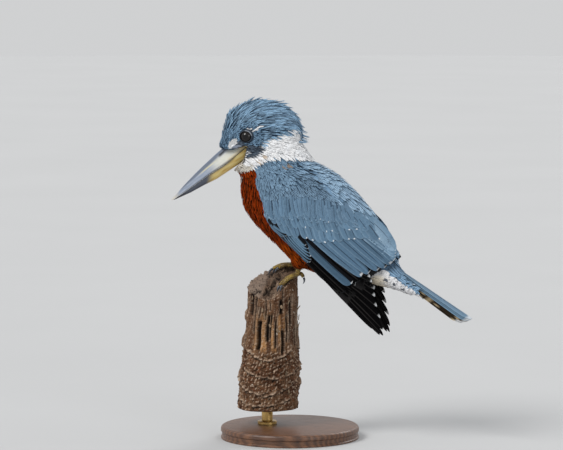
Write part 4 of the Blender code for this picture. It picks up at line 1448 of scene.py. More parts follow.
@dataclass
class NodeFinder:
    """Tells which places lie at a frame node's surface."""

    names: tuple
    tree: BVHTree = field(init=False)

    def __post_init__(self) -> None:
        """Build the search tree."""
        self.tree = node_tree(*self.names)

    def near(self, posed: Array, reach: float) -> Array:
        """True for each place within a reach, in millimetres, of the nodes."""
        found = np.zeros(len(posed), bool)
        for row, spot in enumerate((posed * MM).tolist()):
            found[row] = self.tree.find_nearest(spot, reach * MM)[0] is not None
        return found


@dataclass
class TractFinder:
    """Tells the tract of each place on the posed bird."""

    wing_reach: float = 1.1
    thigh_reach: float = 0.9
    wings: NodeFinder = field(init=False)
    thighs: NodeFinder = field(init=False)

    def __post_init__(self) -> None:
        """Build the search trees."""
        self.wings = NodeFinder(("wing_left", "wing_right"))
        self.thighs = NodeFinder(("thigh_left", "thigh_right"))

    def find(self, posed: Array) -> tuple[Array, Array, Array]:
        """Tracts of some places.

        Args:
            posed: (n, 3) places on the posed bird.

        Returns:
            The places on the straight bird, which of them are on a wing, and their tracts.
        """
        straight = TURN.straighten(posed)
        on_wing = self.wings.near(posed, self.wing_reach)
        on_thigh = self.thighs.near(posed, self.thigh_reach)
        return straight, on_wing, MARKS.tract_names(straight, on_wing, on_thigh)


@dataclass
class Skin:
    """The bird's one skin under the coat, with its lids and bare lores."""

    form: CoatForm
    nodes: tuple = ("head", "neck", "trunk", "rump", "thigh_left", "thigh_right",
                    "wing_left", "wing_right")
    voxel: float = 1.6
    rounds: int = 8
    depth: float = 1.7
    face_depth: float = 0.75
    throat_depth: float = 1.0
    crest_depth: float = 1.6
    wing_depth: float = 1.3

    def build(self) -> bpy.types.Object:
        """Build and dress the skin.

        Returns:
            The skin piece.
        """
        mesh = remeshed(node_mesh(*self.nodes), self.voxel, self.rounds)
        write_places(mesh, self.form.trim(read_mesh(mesh)[0]))
        places, normals = read_mesh(mesh)
        straight, on_wing, names = TractFinder().find(places)
        depth = np.full(len(places), self.depth)
        depth[np.isin(names, ("face", "malar"))] = self.face_depth
        depth[names == "throat"] = self.throat_depth
        depth[names == "crest"] = self.crest_depth
        depth[on_wing] = self.wing_depth
        eye = np.array([MARKS.eye[0], 0.0, MARKS.eye[1]])
        to_eye = np.linalg.norm((straight - eye)[:, [0, 2]], axis=1)
        depth += 1.4 * ease(6.4, 3.0, to_eye) * (np.abs(straight[:, 1]) > 8.0)
        write_places(mesh, places - normals * depth[:, None])
        paint(mesh, MARKS.skin_tone(straight, names))
        skin = place("skin", mesh, PaintedFinish("skin_and_down", roughness=0.8, relief=0.0003).make())
        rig.slot(skin, "slate_plumage")
        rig.replaces(skin, *self.nodes)
        return skin


@dataclass
class SmallFeathers:
    """The small feathers of every tract, laid over the skin from the bill to the tail."""

    form: CoatForm
    seed: int = 41
    steps: tuple = (0.0, 0.22, 0.46, 0.70, 0.88, 1.0)
    lift_power: float = 2.4
    clump_power: float = 1.6
    leader_share: float = 0.2
    bill_top: tuple = ((-75.0, 284.0), (-66.0, 283.5), (-59.0, 283.0), (-50.0, 286.0))
    bill_foot: tuple = ((-75.0, 252.0), (-63.0, 260.0), (-54.0, 266.5), (-44.0, 273.0))
    quills_top: tuple = ((-40.0, 236.0), (-14.0, 226.0), (10.0, 226.5), (40.0, 226.0), (62.0, 222.0),
                         (74.0, 219.0), (84.0, 216.0), (95.0, 208.0), (104.0, 200.0), (130.0, 194.0))

    def _sizes(self, straight: Array, names: Array, rng: np.random.Generator) -> tuple[Array, ...]:
        """Length, width, sink, rise, lift, stray, cup, clump, tilt and profile of each feather."""
        keys = ("long", "wide", "sink", "rise", "lift", "stray", "cup", "clump", "tilt", "profile")
        sized = {key: np.empty(len(names)) for key in keys}
        for name, tract in TRACTS.items():
            here = names == name
            for key, column in sized.items():
                column[here] = getattr(tract, key)
        sized["long"] *= rng.normal(1.0, 0.12, len(names)).clip(0.6, 1.35)
        sized["wide"] *= rng.normal(1.0, 0.10, len(names)).clip(0.7, 1.3)
        x, z = straight[:, 0], straight[:, 2]

        def scale(mask: Array, long: Array, wide: Array) -> None:
            """Scale the length and width of some feathers."""
            sized["long"][mask] *= long[mask]
            sized["wide"][mask] *= wide[mask]

        crest = names == "crest"
        rear = ease(-45.0, 5.0, x) * ease(296.0, 312.0, z + 0.3 * x)
        scale(crest, 0.60 + 0.5 * rear + 0.25 * ease(308.0, 324.0, z), 0.80 + 0.35 * rear)
        front = ease(-50.0, -66.0, x) * np.isin(names, ("crest", "face"))
        sized["long"] *= 1.0 - 0.35 * front
        sized["wide"] *= 1.0 - 0.15 * front
        outer = ease(304.0, 322.0, z + 0.25 * np.maximum(x, 0)) > 0.4
        tips = (rng.random(len(names)) < 0.09) & crest & outer
        sized["lift"][tips] += rng.uniform(1.0, 2.8, int(tips.sum()))
        sized["long"][tips] *= 1.15
        grown = 0.75 + 0.5 * ease(278.0, 240.0, z)
        scale(names == "mantle", grown, grown)
        grown = ease(272.0, 232.0, z)
        scale(names == "scapular", 0.55 + 0.5 * grown, 0.70 + 0.5 * grown)
        lesser = names == "lesser"
        low = ease(256.0, 228.0, z)
        scale(lesser, 0.85 + 0.5 * low, 0.80 + 0.6 * low)
        sized["rise"][lesser] += (0.75 * ease(246.0, 231.0, z) + 0.35 * ease(234.0, 226.0, z))[lesser]
        slit = np.abs(z - along(MARKS.wing_slit, x)) < 1.3
        slit &= (x > MARKS.slit_dark_from) & (x < 47.0) & np.isin(names, MARKS.back_tracts)
        sized["long"][slit], sized["wide"][slit] = 7.0, 1.7
        sized["rise"][slit] += 0.25
        sized["long"][(names == "rump") & (x > 112.0)] *= 0.65
        edge = np.clip(np.hypot(x - MARKS.eye[0], z - MARKS.eye[1]) / 16.0, 0.55, 1.0)
        face = np.isin(names, ("face", "malar"))
        sized["long"][face] *= edge[face]
        marked = MARKS.on_brow(straight)
        sized["long"][marked], sized["wide"][marked] = 3.2, 1.5
        marked |= MARKS.on_cheek(straight, MARKS.lore_spot)
        sized["rise"][marked] += 0.3
        return tuple(sized[key] for key in keys)

    def _spacing(self, straight: Array, names: Array, skip: Array) -> Array:
        """Spacing of feathers at each vertex of the form."""
        gap = np.empty(len(names))
        for name, tract in TRACTS.items():
            gap[names == name] = tract.gap
        x, y, z = straight.T
        scapular = names == "scapular"
        gap[scapular] *= (0.70 + 0.4 * ease(272.0, 232.0, z))[scapular]
        gap[(names == "face") & (x < -60.0)] = 0.95
        bill = (x < -44.0) & (z < along(self.bill_top, x)) & (z > along(self.bill_foot, x))
        to_eye = np.hypot(x - MARKS.eye[0], z - MARKS.eye[1])
        bare = (to_eye < MARKS.eye_room - 0.4) & (np.abs(y) > 8.0)
        bare |= inside(straight[:, [0, 2]], MARKS.bare_lore) & (np.abs(y) > 7.0) & (z < 287.5)
        gap[bill | bare | skip] = 0.0
        return gap

    def _left_bare(self, straight: Array, names: Array, on_wing: Array) -> Array:
        """Places that the quills or the tail cover, where no small feather grows."""
        x, y, z = straight.T
        covered = on_wing & (z < along(self.quills_top, x)) & ~np.isin(names, ("scapular", "breast"))
        beside = np.abs(y) > 5.5
        return covered | (x > np.where(beside, 129.0, 124.0)) | ((x > 116.0) & (names == "rump") & ~beside)

    def _lines(self, roots: Array, long: Array, turn: Array) -> tuple[Array, Array]:
        """The line of each feather over the surface.

        Args:
            roots: (n, 3) roots on the posed bird.
            long: Length of each feather.
            turn: How far each strays from the lie of the coat, in radians.

        Returns:
            Places and normals, each (n, stations, 3).
        """
        line, normals = [], []
        ways = None
        spot = roots
        for a, b in zip(self.steps, self.steps[1:]):
            spot, normal = self.form.settle(spot)
            line.append(spot)
            normals.append(normal)
            lie = self._posed_way(TURN.straighten(spot))
            lie = unit(lie - (lie * normal).sum(1, keepdims=True) * normal)
            side = np.cross(normal, lie)
            lie = lie * np.cos(turn)[:, None] + side * np.sin(turn)[:, None]
            ways = lie if ways is None else unit(0.55 * ways + 0.45 * lie)
            ways = unit(ways - (ways * normal).sum(1, keepdims=True) * normal)
            spot = spot + ways * (long * (b - a))[:, None]
        spot, normal = self.form.settle(spot)
        centre, upright = np.stack(line + [spot], 1), np.stack(normals + [normal], 1)
        bend = np.vander(np.array(self.steps), 3)
        smooth = bend @ np.linalg.pinv(bend)
        return np.einsum("st,ntk->nsk", smooth, centre), unit(np.einsum("st,ntk->nsk", smooth, upright))

    def build(self) -> list[bpy.types.Object]:
        """Lay all the small feathers.

        Returns:
            One piece for each tract.
        """
        rng = np.random.default_rng(self.seed)
        finder = TractFinder()
        straight, on_wing, names = finder.find(self.form.places)
        skip = self._left_bare(straight, names, on_wing)
        roots = self.form.scatter(self._spacing(straight, names, skip), rng)
        flat, _, names = finder.find(roots)
        long, wide, sink, rise, lift, stray, cup, clump, tilt, profile = self._sizes(flat, names, rng)
        turn = np.radians(rng.normal(0.0, 1.0, len(roots)) * stray)
        centre, upright = self._lines(roots, long, turn)
        t = np.array(self.steps)
        leader = self._leaders(roots, names, rng)
        gather = (t ** self.clump_power)[None, :, None]
        centre += (centre[leader] - centre) * clump[:, None, None] * gather
        rise = rise * rng.uniform(0.7, 1.3, len(roots))
        height = (-sink[:, None] * (1 - t) ** profile[:, None] + rise[:, None] * t
                  + lift[:, None] * t ** self.lift_power)
        spine = centre + upright * height[..., None]
        across = unit(np.cross(upright, unit(np.gradient(spine, axis=1))))
        shape = np.empty((len(roots), len(t)))
        for name, tract in TRACTS.items():
            shape[names == name] = tract.outline.value
        half = shape * wide[:, None] / 2.0
        drop = half * cup[:, None] * 2.0
        lean = half * tilt[:, None] * np.clip(-2.0 * upright[..., 1], -1, 1)
        left = spine - across * half[..., None] - upright * (drop - lean)[..., None]
        right = spine + across * half[..., None] - upright * (drop + lean)[..., None]
        verts = np.stack([left, spine, right], 2)
        tints = self.tints(*MARKS.feather_tones(flat, names, rng), names, t)
        local, bake = small_unwraps(flat, t)
        pieces = []
        finish = VaneFinish("small_feathers").make()
        soft = VaneFinish("soft_feathers", roughness=0.85, gloss=0.03, shaft_width=0.2, barb_contrast=0.22,
                          barb_count=4.0).make()
        for name, tract in TRACTS.items():
            here = names == name
            if not here.any():
                continue
            stock = Vanes()
            stock.add(verts[here], tints[here], local[here], bake[here])
            downy = tract.slot in ("white_plumage", "rufous_plumage")
            piece = place("feathers_" + name, stock.mesh("feathers_" + name), soft if downy else finish)
            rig.slot(piece, tract.slot)
            pieces.append(piece)
        return pieces

    def _leaders(self, roots: Array, names: Array, rng: np.random.Generator) -> Array:
        """The feather of its own tract that each feather gathers towards, so that tufts form."""
        leader = np.arange(len(roots))
        for name in TRACTS:
            rows = np.flatnonzero(names == name)
            heads = rows[rng.random(len(rows)) < self.leader_share]
            if len(heads) == 0:
                continue
            tree = KDTree(len(heads))
            for head in heads.tolist():
                tree.insert(roots[head], head)
            tree.balance()
            leader[rows] = [tree.find(spot)[1] for spot in roots[rows].tolist()]
        return leader

    @staticmethod
    def _posed_way(straight: Array) -> Array:
        """The lie of the coat at places of the straight bird, as the posed bird has it."""
        way = LIE.way(straight)
        angle = TURN.share(straight)
        out = way.copy()
        out[:, 0] = np.cos(angle) * way[:, 0] - np.sin(angle) * way[:, 1]
        out[:, 1] = np.sin(angle) * way[:, 0] + np.cos(angle) * way[:, 1]
        return out

    @staticmethod
    def tints(root: Array, body: Array, rim: Array, shaft: Array, names: Array, t: Array) -> Array:
        """Colour and shaft mask at every place of every vane."""
        count = len(root)
        tints = np.empty((count, len(t), 3, 4))
        rise = ease(0.05, 0.55, t)[None, :, None]
        middle = root[:, None] * (1 - rise) + body[:, None] * rise
        tip = ease(0.62, 1.0, t)[None, :, None]
        share = np.array([TRACTS[n].edge_share for n in names])[:, None, None]
        middle = middle * (1 - 0.35 * tip * share) + rim[:, None] * 0.35 * tip * share
        side = middle * (1 - share) + (root[:, None] * (1 - rise) + rim[:, None] * rise) * share
        tints[:, :, 0, :3] = side
        tints[:, :, 1, :3] = middle
        tints[:, :, 2, :3] = side
        tints[..., 3] = shaft[:, None, None]
        return tints


@dataclass
class Plumes:
    """The long pointed feathers that break the outline of the crest."""

    form: CoatForm
    tips: tuple = ((-61.5, 319.6, 8.0), (-58.4, 324.2, 10.0), (-53.6, 326.8, 11.0), (-49.4, 329.4, 12.0),
                   (-42.5, 331.4, 14.0), (-34.7, 335.4, 18.0), (-26.9, 334.8, 17.0), (-22.5, 331.6, 15.0),
                   (-11.9, 331.0, 15.0), (-4.5, 331.0, 16.0), (-0.6, 328.8, 16.0), (3.4, 323.8, 16.0),
                   (8.7, 317.4, 15.0), (11.2, 311.8, 15.0), (14.8, 304.3, 14.0), (17.2, 299.2, 13.0),
                   (18.6, 295.2, 10.0), (19.2, 291.4, 8.0))
    each: int = 9
    wide: float = 1.7
    seed: int = 77

    def build(self) -> bpy.types.Object:
        """Lay the plumes.

        Returns:
            The piece.
        """
        rng = np.random.default_rng(self.seed)
        table = np.repeat(np.array(self.tips), self.each, axis=0)
        count = len(table)
        off = rng.normal(0.0, 1.0, (count, 3)) * [0.25, 1.0, 0.25]
        off[:, 1] *= 1.0 + 2.6 * ease(308.0, 296.0, table[:, 1]) * (table[:, 0] > 0)
        way = LIE.way(np.column_stack([table[:, 0], np.zeros(count), table[:, 1]]))
        tip = np.column_stack([table[:, 0], np.zeros(count), table[:, 1]]) + off
        tip -= way * rng.uniform(0.0, 2.4, count)[:, None]
        length = table[:, 2] * rng.uniform(0.75, 1.05, count)
        fan = rng.normal(0.0, 1.0, (count, 3)) * [1.2, 2.6, 1.2]
        root = TURN.turn(tip - way * length[:, None] + fan)
        tip = TURN.turn(tip)
        root, upright = self.form.settle(root)
        middle, _ = self.form.settle((root + tip) / 2)
        t = np.array(SmallFeathers.steps)[None, :, None]
        low, high = (root - upright * 0.9)[:, None], tip[:, None]
        bend = (middle + upright * 0.5)[:, None] * 2.0 - (low + high) / 2
        spine = low * (1 - t) ** 2 + 2 * bend * t * (1 - t) + high * t ** 2
        across = unit(np.cross(upright[:, None], unit(np.gradient(spine, axis=1))))
        wide = self.wide / 2 * rng.uniform(0.75, 1.2, count)
        half = np.array(Outline.LANCE.value)[None] * wide[:, None]
        drop = upright[:, None] * (half * 0.5)[..., None]
        verts = np.stack([spine - across * half[..., None] - drop, spine,
                          spine + across * half[..., None] - drop], 2)
        crest = TRACTS["crest"]
        mix = rng.uniform(0.2, 1.0, count)[:, None]
        body = tone(*crest.dark) + (tone(*crest.pale) - tone(*crest.dark)) * mix
        steps = t[0, :, 0]
        tints = SmallFeathers.tints(body * 0.55, body, np.tile(tone(*crest.edge), (count, 1)),
                                    np.full(count, crest.shaft), np.full(count, "crest"), steps)
        local, bake = small_unwraps(TURN.straighten(root), steps)
        stock = Vanes()
        stock.add(verts, tints, local, bake)
        piece = place("crest_plumes", stock.mesh("crest_plumes"), VaneFinish("plume_feathers").make())
        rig.slot(piece, "slate_plumage")
        return piece


# ------------------------------------------------------------------ wings and tail

ACROSS = np.array([-1.0, -0.92, -0.62, -0.22, -0.06, 0.06, 0.18, 0.24, 0.55, 0.80, 1.0])
QUILL_STEPS = np.concatenate([np.linspace(0.0, 0.84, 16), [0.89, 0.93, 0.96, 0.98, 0.992, 1.0]])


def blunt_end(steps: Array, start: float) -> Array:
    """Share of a quill's width at its stations, from 1 down to 0 past the start of its rounded end."""
    return (1.0 - np.clip((steps - start) / (1.0 - start), 0, 1) ** 2.6) ** 0.55


def quill_tints(web: Web, share: float, rng: np.random.Generator) -> Array:
    """Colours of one quill over its stations and across its webs.

    Args:
        web: The quill's marking.
        share: Its place in its row, from 0 at the wing's edge to 1 at the back.
        rng: Source of chance.

    Returns:
        (stations, across, 4) with the shaft's mask in the fourth channel.
    """
    look = web.value
    t, u = np.meshgrid(QUILL_STEPS, ACROSS, indexing="ij")
    out = np.empty((*t.shape, 4))
    out[..., :3] = tone(*look.ground) * np.clip(rng.normal(1.0, 0.08), 0.82, 1.2)
    out[..., :3] *= (0.84 + 0.2 * t)[..., None]
    out[..., 3] = look.shaft

    def lay(where: Array, colour: Array, strength: float = 1.0) -> None:
        """Lay a colour over part of the quill."""
        mix = (where.astype(float) * strength)[..., None]
        out[..., :3] = out[..., :3] * (1 - mix) + colour * mix

    lay(u < look.edge_to, tone(*look.edge), look.edge_mix * rng.uniform(0.6, 1.0))
    if share < 0.8 or web is Web.PRIMARY:
        lay(u > look.inner_from + look.inner_start * ease(0.95, 0.5, t) + 0.25 * share, tone(*look.inner))
    if look.bars:
        bars = (np.mod(t * look.bars + 0.15 * rng.random(), 1.0) < 0.24) & (np.abs(u) > 0.3) & (t > 0.12)
        lay(bars, tone(*look.bar))
    if web is Web.PRIMARY:
        lay(np.abs(u) < 0.1, tone(84, 81, 79), 0.25)
    if web is not Web.PRIMARY or share > 0.42:
        lay((t > look.tip_from + rng.uniform(-0.002, 0.012)) & (u > look.tip_low), tone(*look.tip),
            look.tip_mix * rng.uniform(0.5, 1.0))
    if rng.random() < look.spots:
        lay((t > 0.95) & (np.abs(u + rng.choice([0.14, -0.2])) < 0.2), tone(236, 240, 244))
        out[..., 3] *= np.where(t > 0.9, 0.0, 1.0)
    return out


@dataclass
class WingSheet:
    """Height of the left wing's outer face over the side view, which quills lie on."""

    nodes: tuple = ("wing_left", "wing_tip_left", "trunk", "rump", "neck")
    step: float = 1.5
    low: Pair = (-46.0, 96.0)
    high: Pair = (152.0, 300.0)
    fill_rounds: int = 60
    smooth_rounds: int = 4
    grid: Array = field(init=False)

    def __post_init__(self) -> None:
        """Read the face from the frame's wing and body, and smooth it."""
        tree = node_tree(*self.nodes)
        xs = np.arange(self.low[0], self.high[0], self.step)
        zs = np.arange(self.low[1], self.high[1], self.step)
        grid = np.full((len(xs), len(zs)), np.nan)
        ahead = Vector((0.0, 1.0, 0.0))
        for i, x in enumerate(xs):
            for k, z in enumerate(zs):
                hit = tree.ray_cast(Vector((x * MM, -0.2, z * MM)), ahead, 0.2)[0]
                if hit is not None:
                    grid[i, k] = hit.y / MM
        self.grid = self._filled(grid)

    def _filled(self, grid: Array) -> Array:
        """A grid with its empty cells filled from their neighbours, then smoothed."""
        known = ~np.isnan(grid)
        full = np.where(known, grid, 0.0)
        have = known.astype(float)
        for _ in range(self.fill_rounds):
            total, weight = full * have, have.copy()
            for axis in (0, 1):
                for way in (-1, 1):
                    total += np.roll(full * have, way, axis)
                    weight += np.roll(have, way, axis)
            spread = np.where(weight > 0, total / np.maximum(weight, 1e-9), 0.0)
            full = np.where(known, grid, spread)
            have = np.where(weight > 0, 1.0, 0.0)
        full = np.where(have > 0, full, -20.0)
        for _ in range(self.smooth_rounds):
            near = sum(np.roll(full, way, axis) for axis in (0, 1) for way in (-1, 1)) / 4.0
            full = 0.45 * full + 0.55 * near
        return full

    def face(self, x: Array, z: Array) -> Array:
        """The y of the wing's outer face.

        Args:
            x: Places along the bird.
            z: Heights.

        Returns:
            y of the left wing, which is negative.
        """
        fx = np.clip((x - self.low[0]) / self.step, 0, self.grid.shape[0] - 1.001)
        fz = np.clip((z - self.low[1]) / self.step, 0, self.grid.shape[1] - 1.001)
        i, k = fx.astype(int), fz.astype(int)
        a, b = fx - i, fz - k
        g = self.grid
        return ((g[i, k] * (1 - a) + g[i + 1, k] * a) * (1 - b)
                + (g[i, k + 1] * (1 - a) + g[i + 1, k + 1] * a) * b)


@dataclass(frozen=True)
class QuillRow:
    """A row of long feathers on the folded wing, as seen from the side.

    The first feather is the one nearest the wing's front edge. Widths and lifts run from
    the first feather to the last, and a feather's inner web is the one towards the back.
    """

    web: Web
    count: int
    roots: tuple
    tips: tuple
    wide: Pair
    lift: Pair
    bow: Pair = (0.0, 0.0)
    tilt: float = 0.5
    blunt: float = 0.75
    outer: float = 1.0
    sink: float = 1.3
    stray: float = 0.5
    taper: float = 0.0
    root_share: float = 0.5

    def vanes(self, sheet: WingSheet, rng: np.random.Generator) -> tuple[Array, Array, Array]:
        """The feathers of the left wing.

        Args:
            sheet: The wing's face.
            rng: Source of chance.

        Returns:
            Places, colours and local coordinates.
        """
        t, u = QUILL_STEPS, ACROSS
        places, tints, local = [], [], []
        for n in range(self.count):
            share = n / max(self.count - 1, 1)
            root = spline(self.roots, [share * (len(self.roots) - 1)])[0] + rng.normal(0, self.stray, 2)
            tip = spline(self.tips, [share * (len(self.tips) - 1)])[0] + rng.normal(0, self.stray, 2)
            run = tip - root
            ahead = run / np.linalg.norm(run)
            inward = np.array([-ahead[1], ahead[0]])
            bow = self.bow[0] + (self.bow[1] - self.bow[0]) * share + rng.normal(0, 0.25)
            spine = root + run * t[:, None] + inward * (bow * np.sin(math.pi * t))[:, None]
            way = unit(np.gradient(spine, axis=0))
            square = np.column_stack([-way[:, 1], way[:, 0]])
            wide = (self.wide[0] + (self.wide[1] - self.wide[0]) * share) / 2.0 * rng.normal(1.0, 0.04)
            grow = self.root_share + (1 - self.root_share) * ease(0.0, 0.45, t)
            slim = 1.0 - self.taper * ease(self.blunt - 0.3, 1.0, t)
            half = wide * grow * np.maximum(blunt_end(t, self.blunt), 0.05)
            reach = np.where(u < 0, u * self.outer * slim[:, None], u * (2.0 - self.outer))
            flat = spine[:, None] + square[:, None] * (half[:, None] * reach)[..., None]
            x, z = flat[..., 0], flat[..., 1]
            up = ease(0.0, 0.45, t)[:, None]
            lift = (self.lift[0] + (self.lift[1] - self.lift[0]) * share) * up - self.sink * (1 - up)
            crown = 0.22 * (1 - np.abs(u)) * wide / 4.0
            y = np.minimum(sheet.face(x, z) - lift + self.tilt * u[None] * 0.5 - crown[None], -0.5)
            places.append(np.stack([x, y, z], -1))
            tints.append(quill_tints(self.web, share, rng))
            local.append(np.stack(np.meshgrid(t, (u + 1) / 2, indexing="ij")[::-1], -1))
        return np.stack(places), np.stack(tints), np.stack(local)


QUILL_ROWS: tuple[QuillRow, ...] = (
    QuillRow(Web.PRIMARY, 10,
             ((3.5, 205.5), (8.0, 202.0), (13.0, 200.0), (20.0, 199.0), (26.0, 198.0)),
             ((88.0, 113.0), (95.0, 107.2), (98.4, 106.0), (98.8, 112.5), (96.8, 123.0), (93.6, 134.5),
              (91.6, 144.5), (90.4, 151.5), (89.4, 158.0), (88.2, 163.5)),
             (6.6, 10.5), (-1.2, -0.35), bow=(1.5, 1.0), blunt=0.66, outer=0.6, stray=0.2),
    QuillRow(Web.PRIMARY, 2, ((11.0, 207.0), (14.0, 208.0)), ((71.0, 151.0), (76.0, 155.0)),
             (10.0, 10.0), (-0.3, -0.22), bow=(-0.3, 0.0), blunt=0.7, outer=0.9, stray=0.2),
    QuillRow(Web.BLADE, 1, ((15.0, 211.4), (15.0, 211.4)), ((72.0, 157.6), (72.0, 157.6)),
             (11.6, 11.6), (0.0, 0.0), bow=(0.2, 0.2), blunt=0.9, outer=1.12, stray=0.0, root_share=0.9),
    QuillRow(Web.PRIMARY, 1, ((27.0, 209.0), (27.0, 209.0)), ((78.6, 160.6), (78.6, 160.6)),
             (10.0, 10.0), (0.05, 0.05), bow=(-0.4, -0.4), blunt=0.8, outer=0.5, stray=0.0, root_share=0.9),
    QuillRow(Web.SECONDARY, 6,
             ((23.5, 213.5), (42.0, 216.0), (57.0, 217.5), (68.0, 218.5)),
             ((81.0, 164.2), (87.4, 167.2), (95.2, 170.2), (101.4, 172.6), (105.6, 175.6), (108.6, 179.0)),
             (14.4, 11.0), (0.12, 0.5), bow=(0.4, 1.6), blunt=0.86, outer=0.62, stray=0.15, taper=0.35,
             root_share=0.9),
    QuillRow(Web.TERTIAL, 7, ((66.0, 218.0), (69.0, 220.0), (72.0, 222.0), (74.5, 223.6), (77.0, 224.6)),
             ((109.8, 181.0), (110.2, 184.4), (109.4, 188.2), (107.4, 192.2), (104.4, 196.0)),
             (8.8, 7.4), (0.5, 0.85), bow=(1.2, 1.6), blunt=0.78, outer=0.8, stray=0.15, root_share=0.8),
    QuillRow(Web.RIM_COVERT, 3, ((-17.0, 226.0), (-12.0, 220.0)),
             ((5.0, 201.5), (8.6, 203.0), (11.0, 206.0)), (5.4, 7.4), (0.0, 0.25), bow=(-1.6, -1.0),
             tilt=0.3, blunt=0.6, stray=0.2),
    QuillRow(Web.RIM_COVERT, 8, ((-7.0, 212.0), (4.0, 210.0), (14.0, 211.0)),
             ((26.0, 180.2), (31.0, 177.4), (33.4, 180.0), (33.4, 184.6), (31.6, 190.0), (29.0, 195.0)),
             (5.0, 6.4), (-0.2, 0.3), bow=(-1.6, -0.2), tilt=0.4, blunt=0.72, stray=0.2),
    QuillRow(Web.COVERT, 14,
             ((-2.0, 226.0), (22.0, 229.0), (44.0, 226.0), (62.0, 225.0), (80.0, 221.0)),
             ((10.0, 205.0), (15.5, 203.0), (23.6, 201.2), (34.2, 200.3), (42.0, 198.6), (49.3, 197.6),
              (57.0, 198.6), (64.5, 199.6), (73.0, 200.0), (81.0, 201.0), (89.0, 201.4), (96.0, 199.0)),
             (9.0, 11.0), (0.3, 0.85), bow=(0.0, 1.2), blunt=0.74, stray=0.5),
    QuillRow(Web.COVERT, 16,
             ((-10.0, 234.0), (12.0, 237.0), (36.0, 236.0), (56.0, 232.0), (72.0, 228.0)),
             ((-3.5, 214.5), (8.0, 212.0), (20.0, 211.0), (33.0, 211.5), (46.0, 208.5), (58.0, 207.8),
              (69.0, 209.5), (78.0, 210.5), (86.0, 210.0)),
             (7.6, 9.0), (0.55, 1.05), blunt=0.66, stray=0.9),
    QuillRow(Web.SMALL_COVERT, 20,
             ((-15.0, 240.0), (12.0, 245.0), (34.0, 243.0), (50.0, 239.0), (62.0, 234.0)),
             ((-11.0, 222.5), (4.0, 221.0), (18.0, 221.0), (31.0, 221.5), (43.0, 219.0), (54.0, 217.4),
              (64.0, 217.6), (72.0, 218.0)),
             (6.2, 7.4), (0.8, 1.2), bow=(0.0, 0.6), blunt=0.6, stray=1.2),
)


@dataclass
class Wings:
    """The long feathers of both folded wings."""

    sheet: WingSheet
    seed: int = 17
    quills: int = 6
    tuck: float = 5.0

    def build(self) -> list[bpy.types.Object]:
        """Lay the quills of both wings.

        Returns:
            One piece for each wing's quills and one for each wing's coverts.
        """
        finish = {label: VaneFinish("long_" + label, roughness=rough_to, gloss=gloss, shaft_width=0.035,
                                    barb_count=46.0, barb_contrast=0.13, relief=0.0001).make()
                  for label, rough_to, gloss in (("quills", 0.68, 0.03), ("coverts", 0.5, 0.09))}
        pieces = []
        for side in Side:
            rng = np.random.default_rng(self.seed)
            for label, rows in (("quills", QUILL_ROWS[:self.quills]), ("coverts", QUILL_ROWS[self.quills:])):
                made = [row.vanes(self.sheet, rng) for row in rows]
                spots, tints, local = (np.concatenate([m[k] for m in made]) for k in range(3))
                if side is Side.RIGHT:
                    spots, tints, local = mirror(spots)[:, :, ::-1], tints[:, :, ::-1], local[:, :, ::-1]
                    spots[..., 0] -= self.tuck * ease(96.0, 111.0, spots[..., 0])
                stock = Vanes()
                stock.add(spots, tints, local, strips(local))
                name = f"wing_{label}_{side.label}"
                piece = place(name, stock.mesh(name), finish[label])
                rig.slot(piece, "slate_plumage" if label == "coverts" else "black_plumage")
                if label == "quills":
                    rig.replaces(piece, "wing_tip_" + side.label)
                pieces.append(piece)
        return pieces


def strips(local: Array) -> Array:
    """Places of long feathers on their bake map: each has a strip of its own.

    Args:
        local: (n, stations, across, 2) local coordinates.

    Returns:
        The same shape, with every feather in its own cell.
    """
    count = len(local)
    columns = max(4, math.ceil(math.sqrt(count * 3)))
    rows = math.ceil(count / columns)
    cell = np.arange(count)
    corner = np.column_stack([cell % columns, cell // columns])[:, None, None, :]
    size = np.array([1.0 / columns, 1.0 / rows])
    return (corner + 0.08 + 0.84 * local) * size


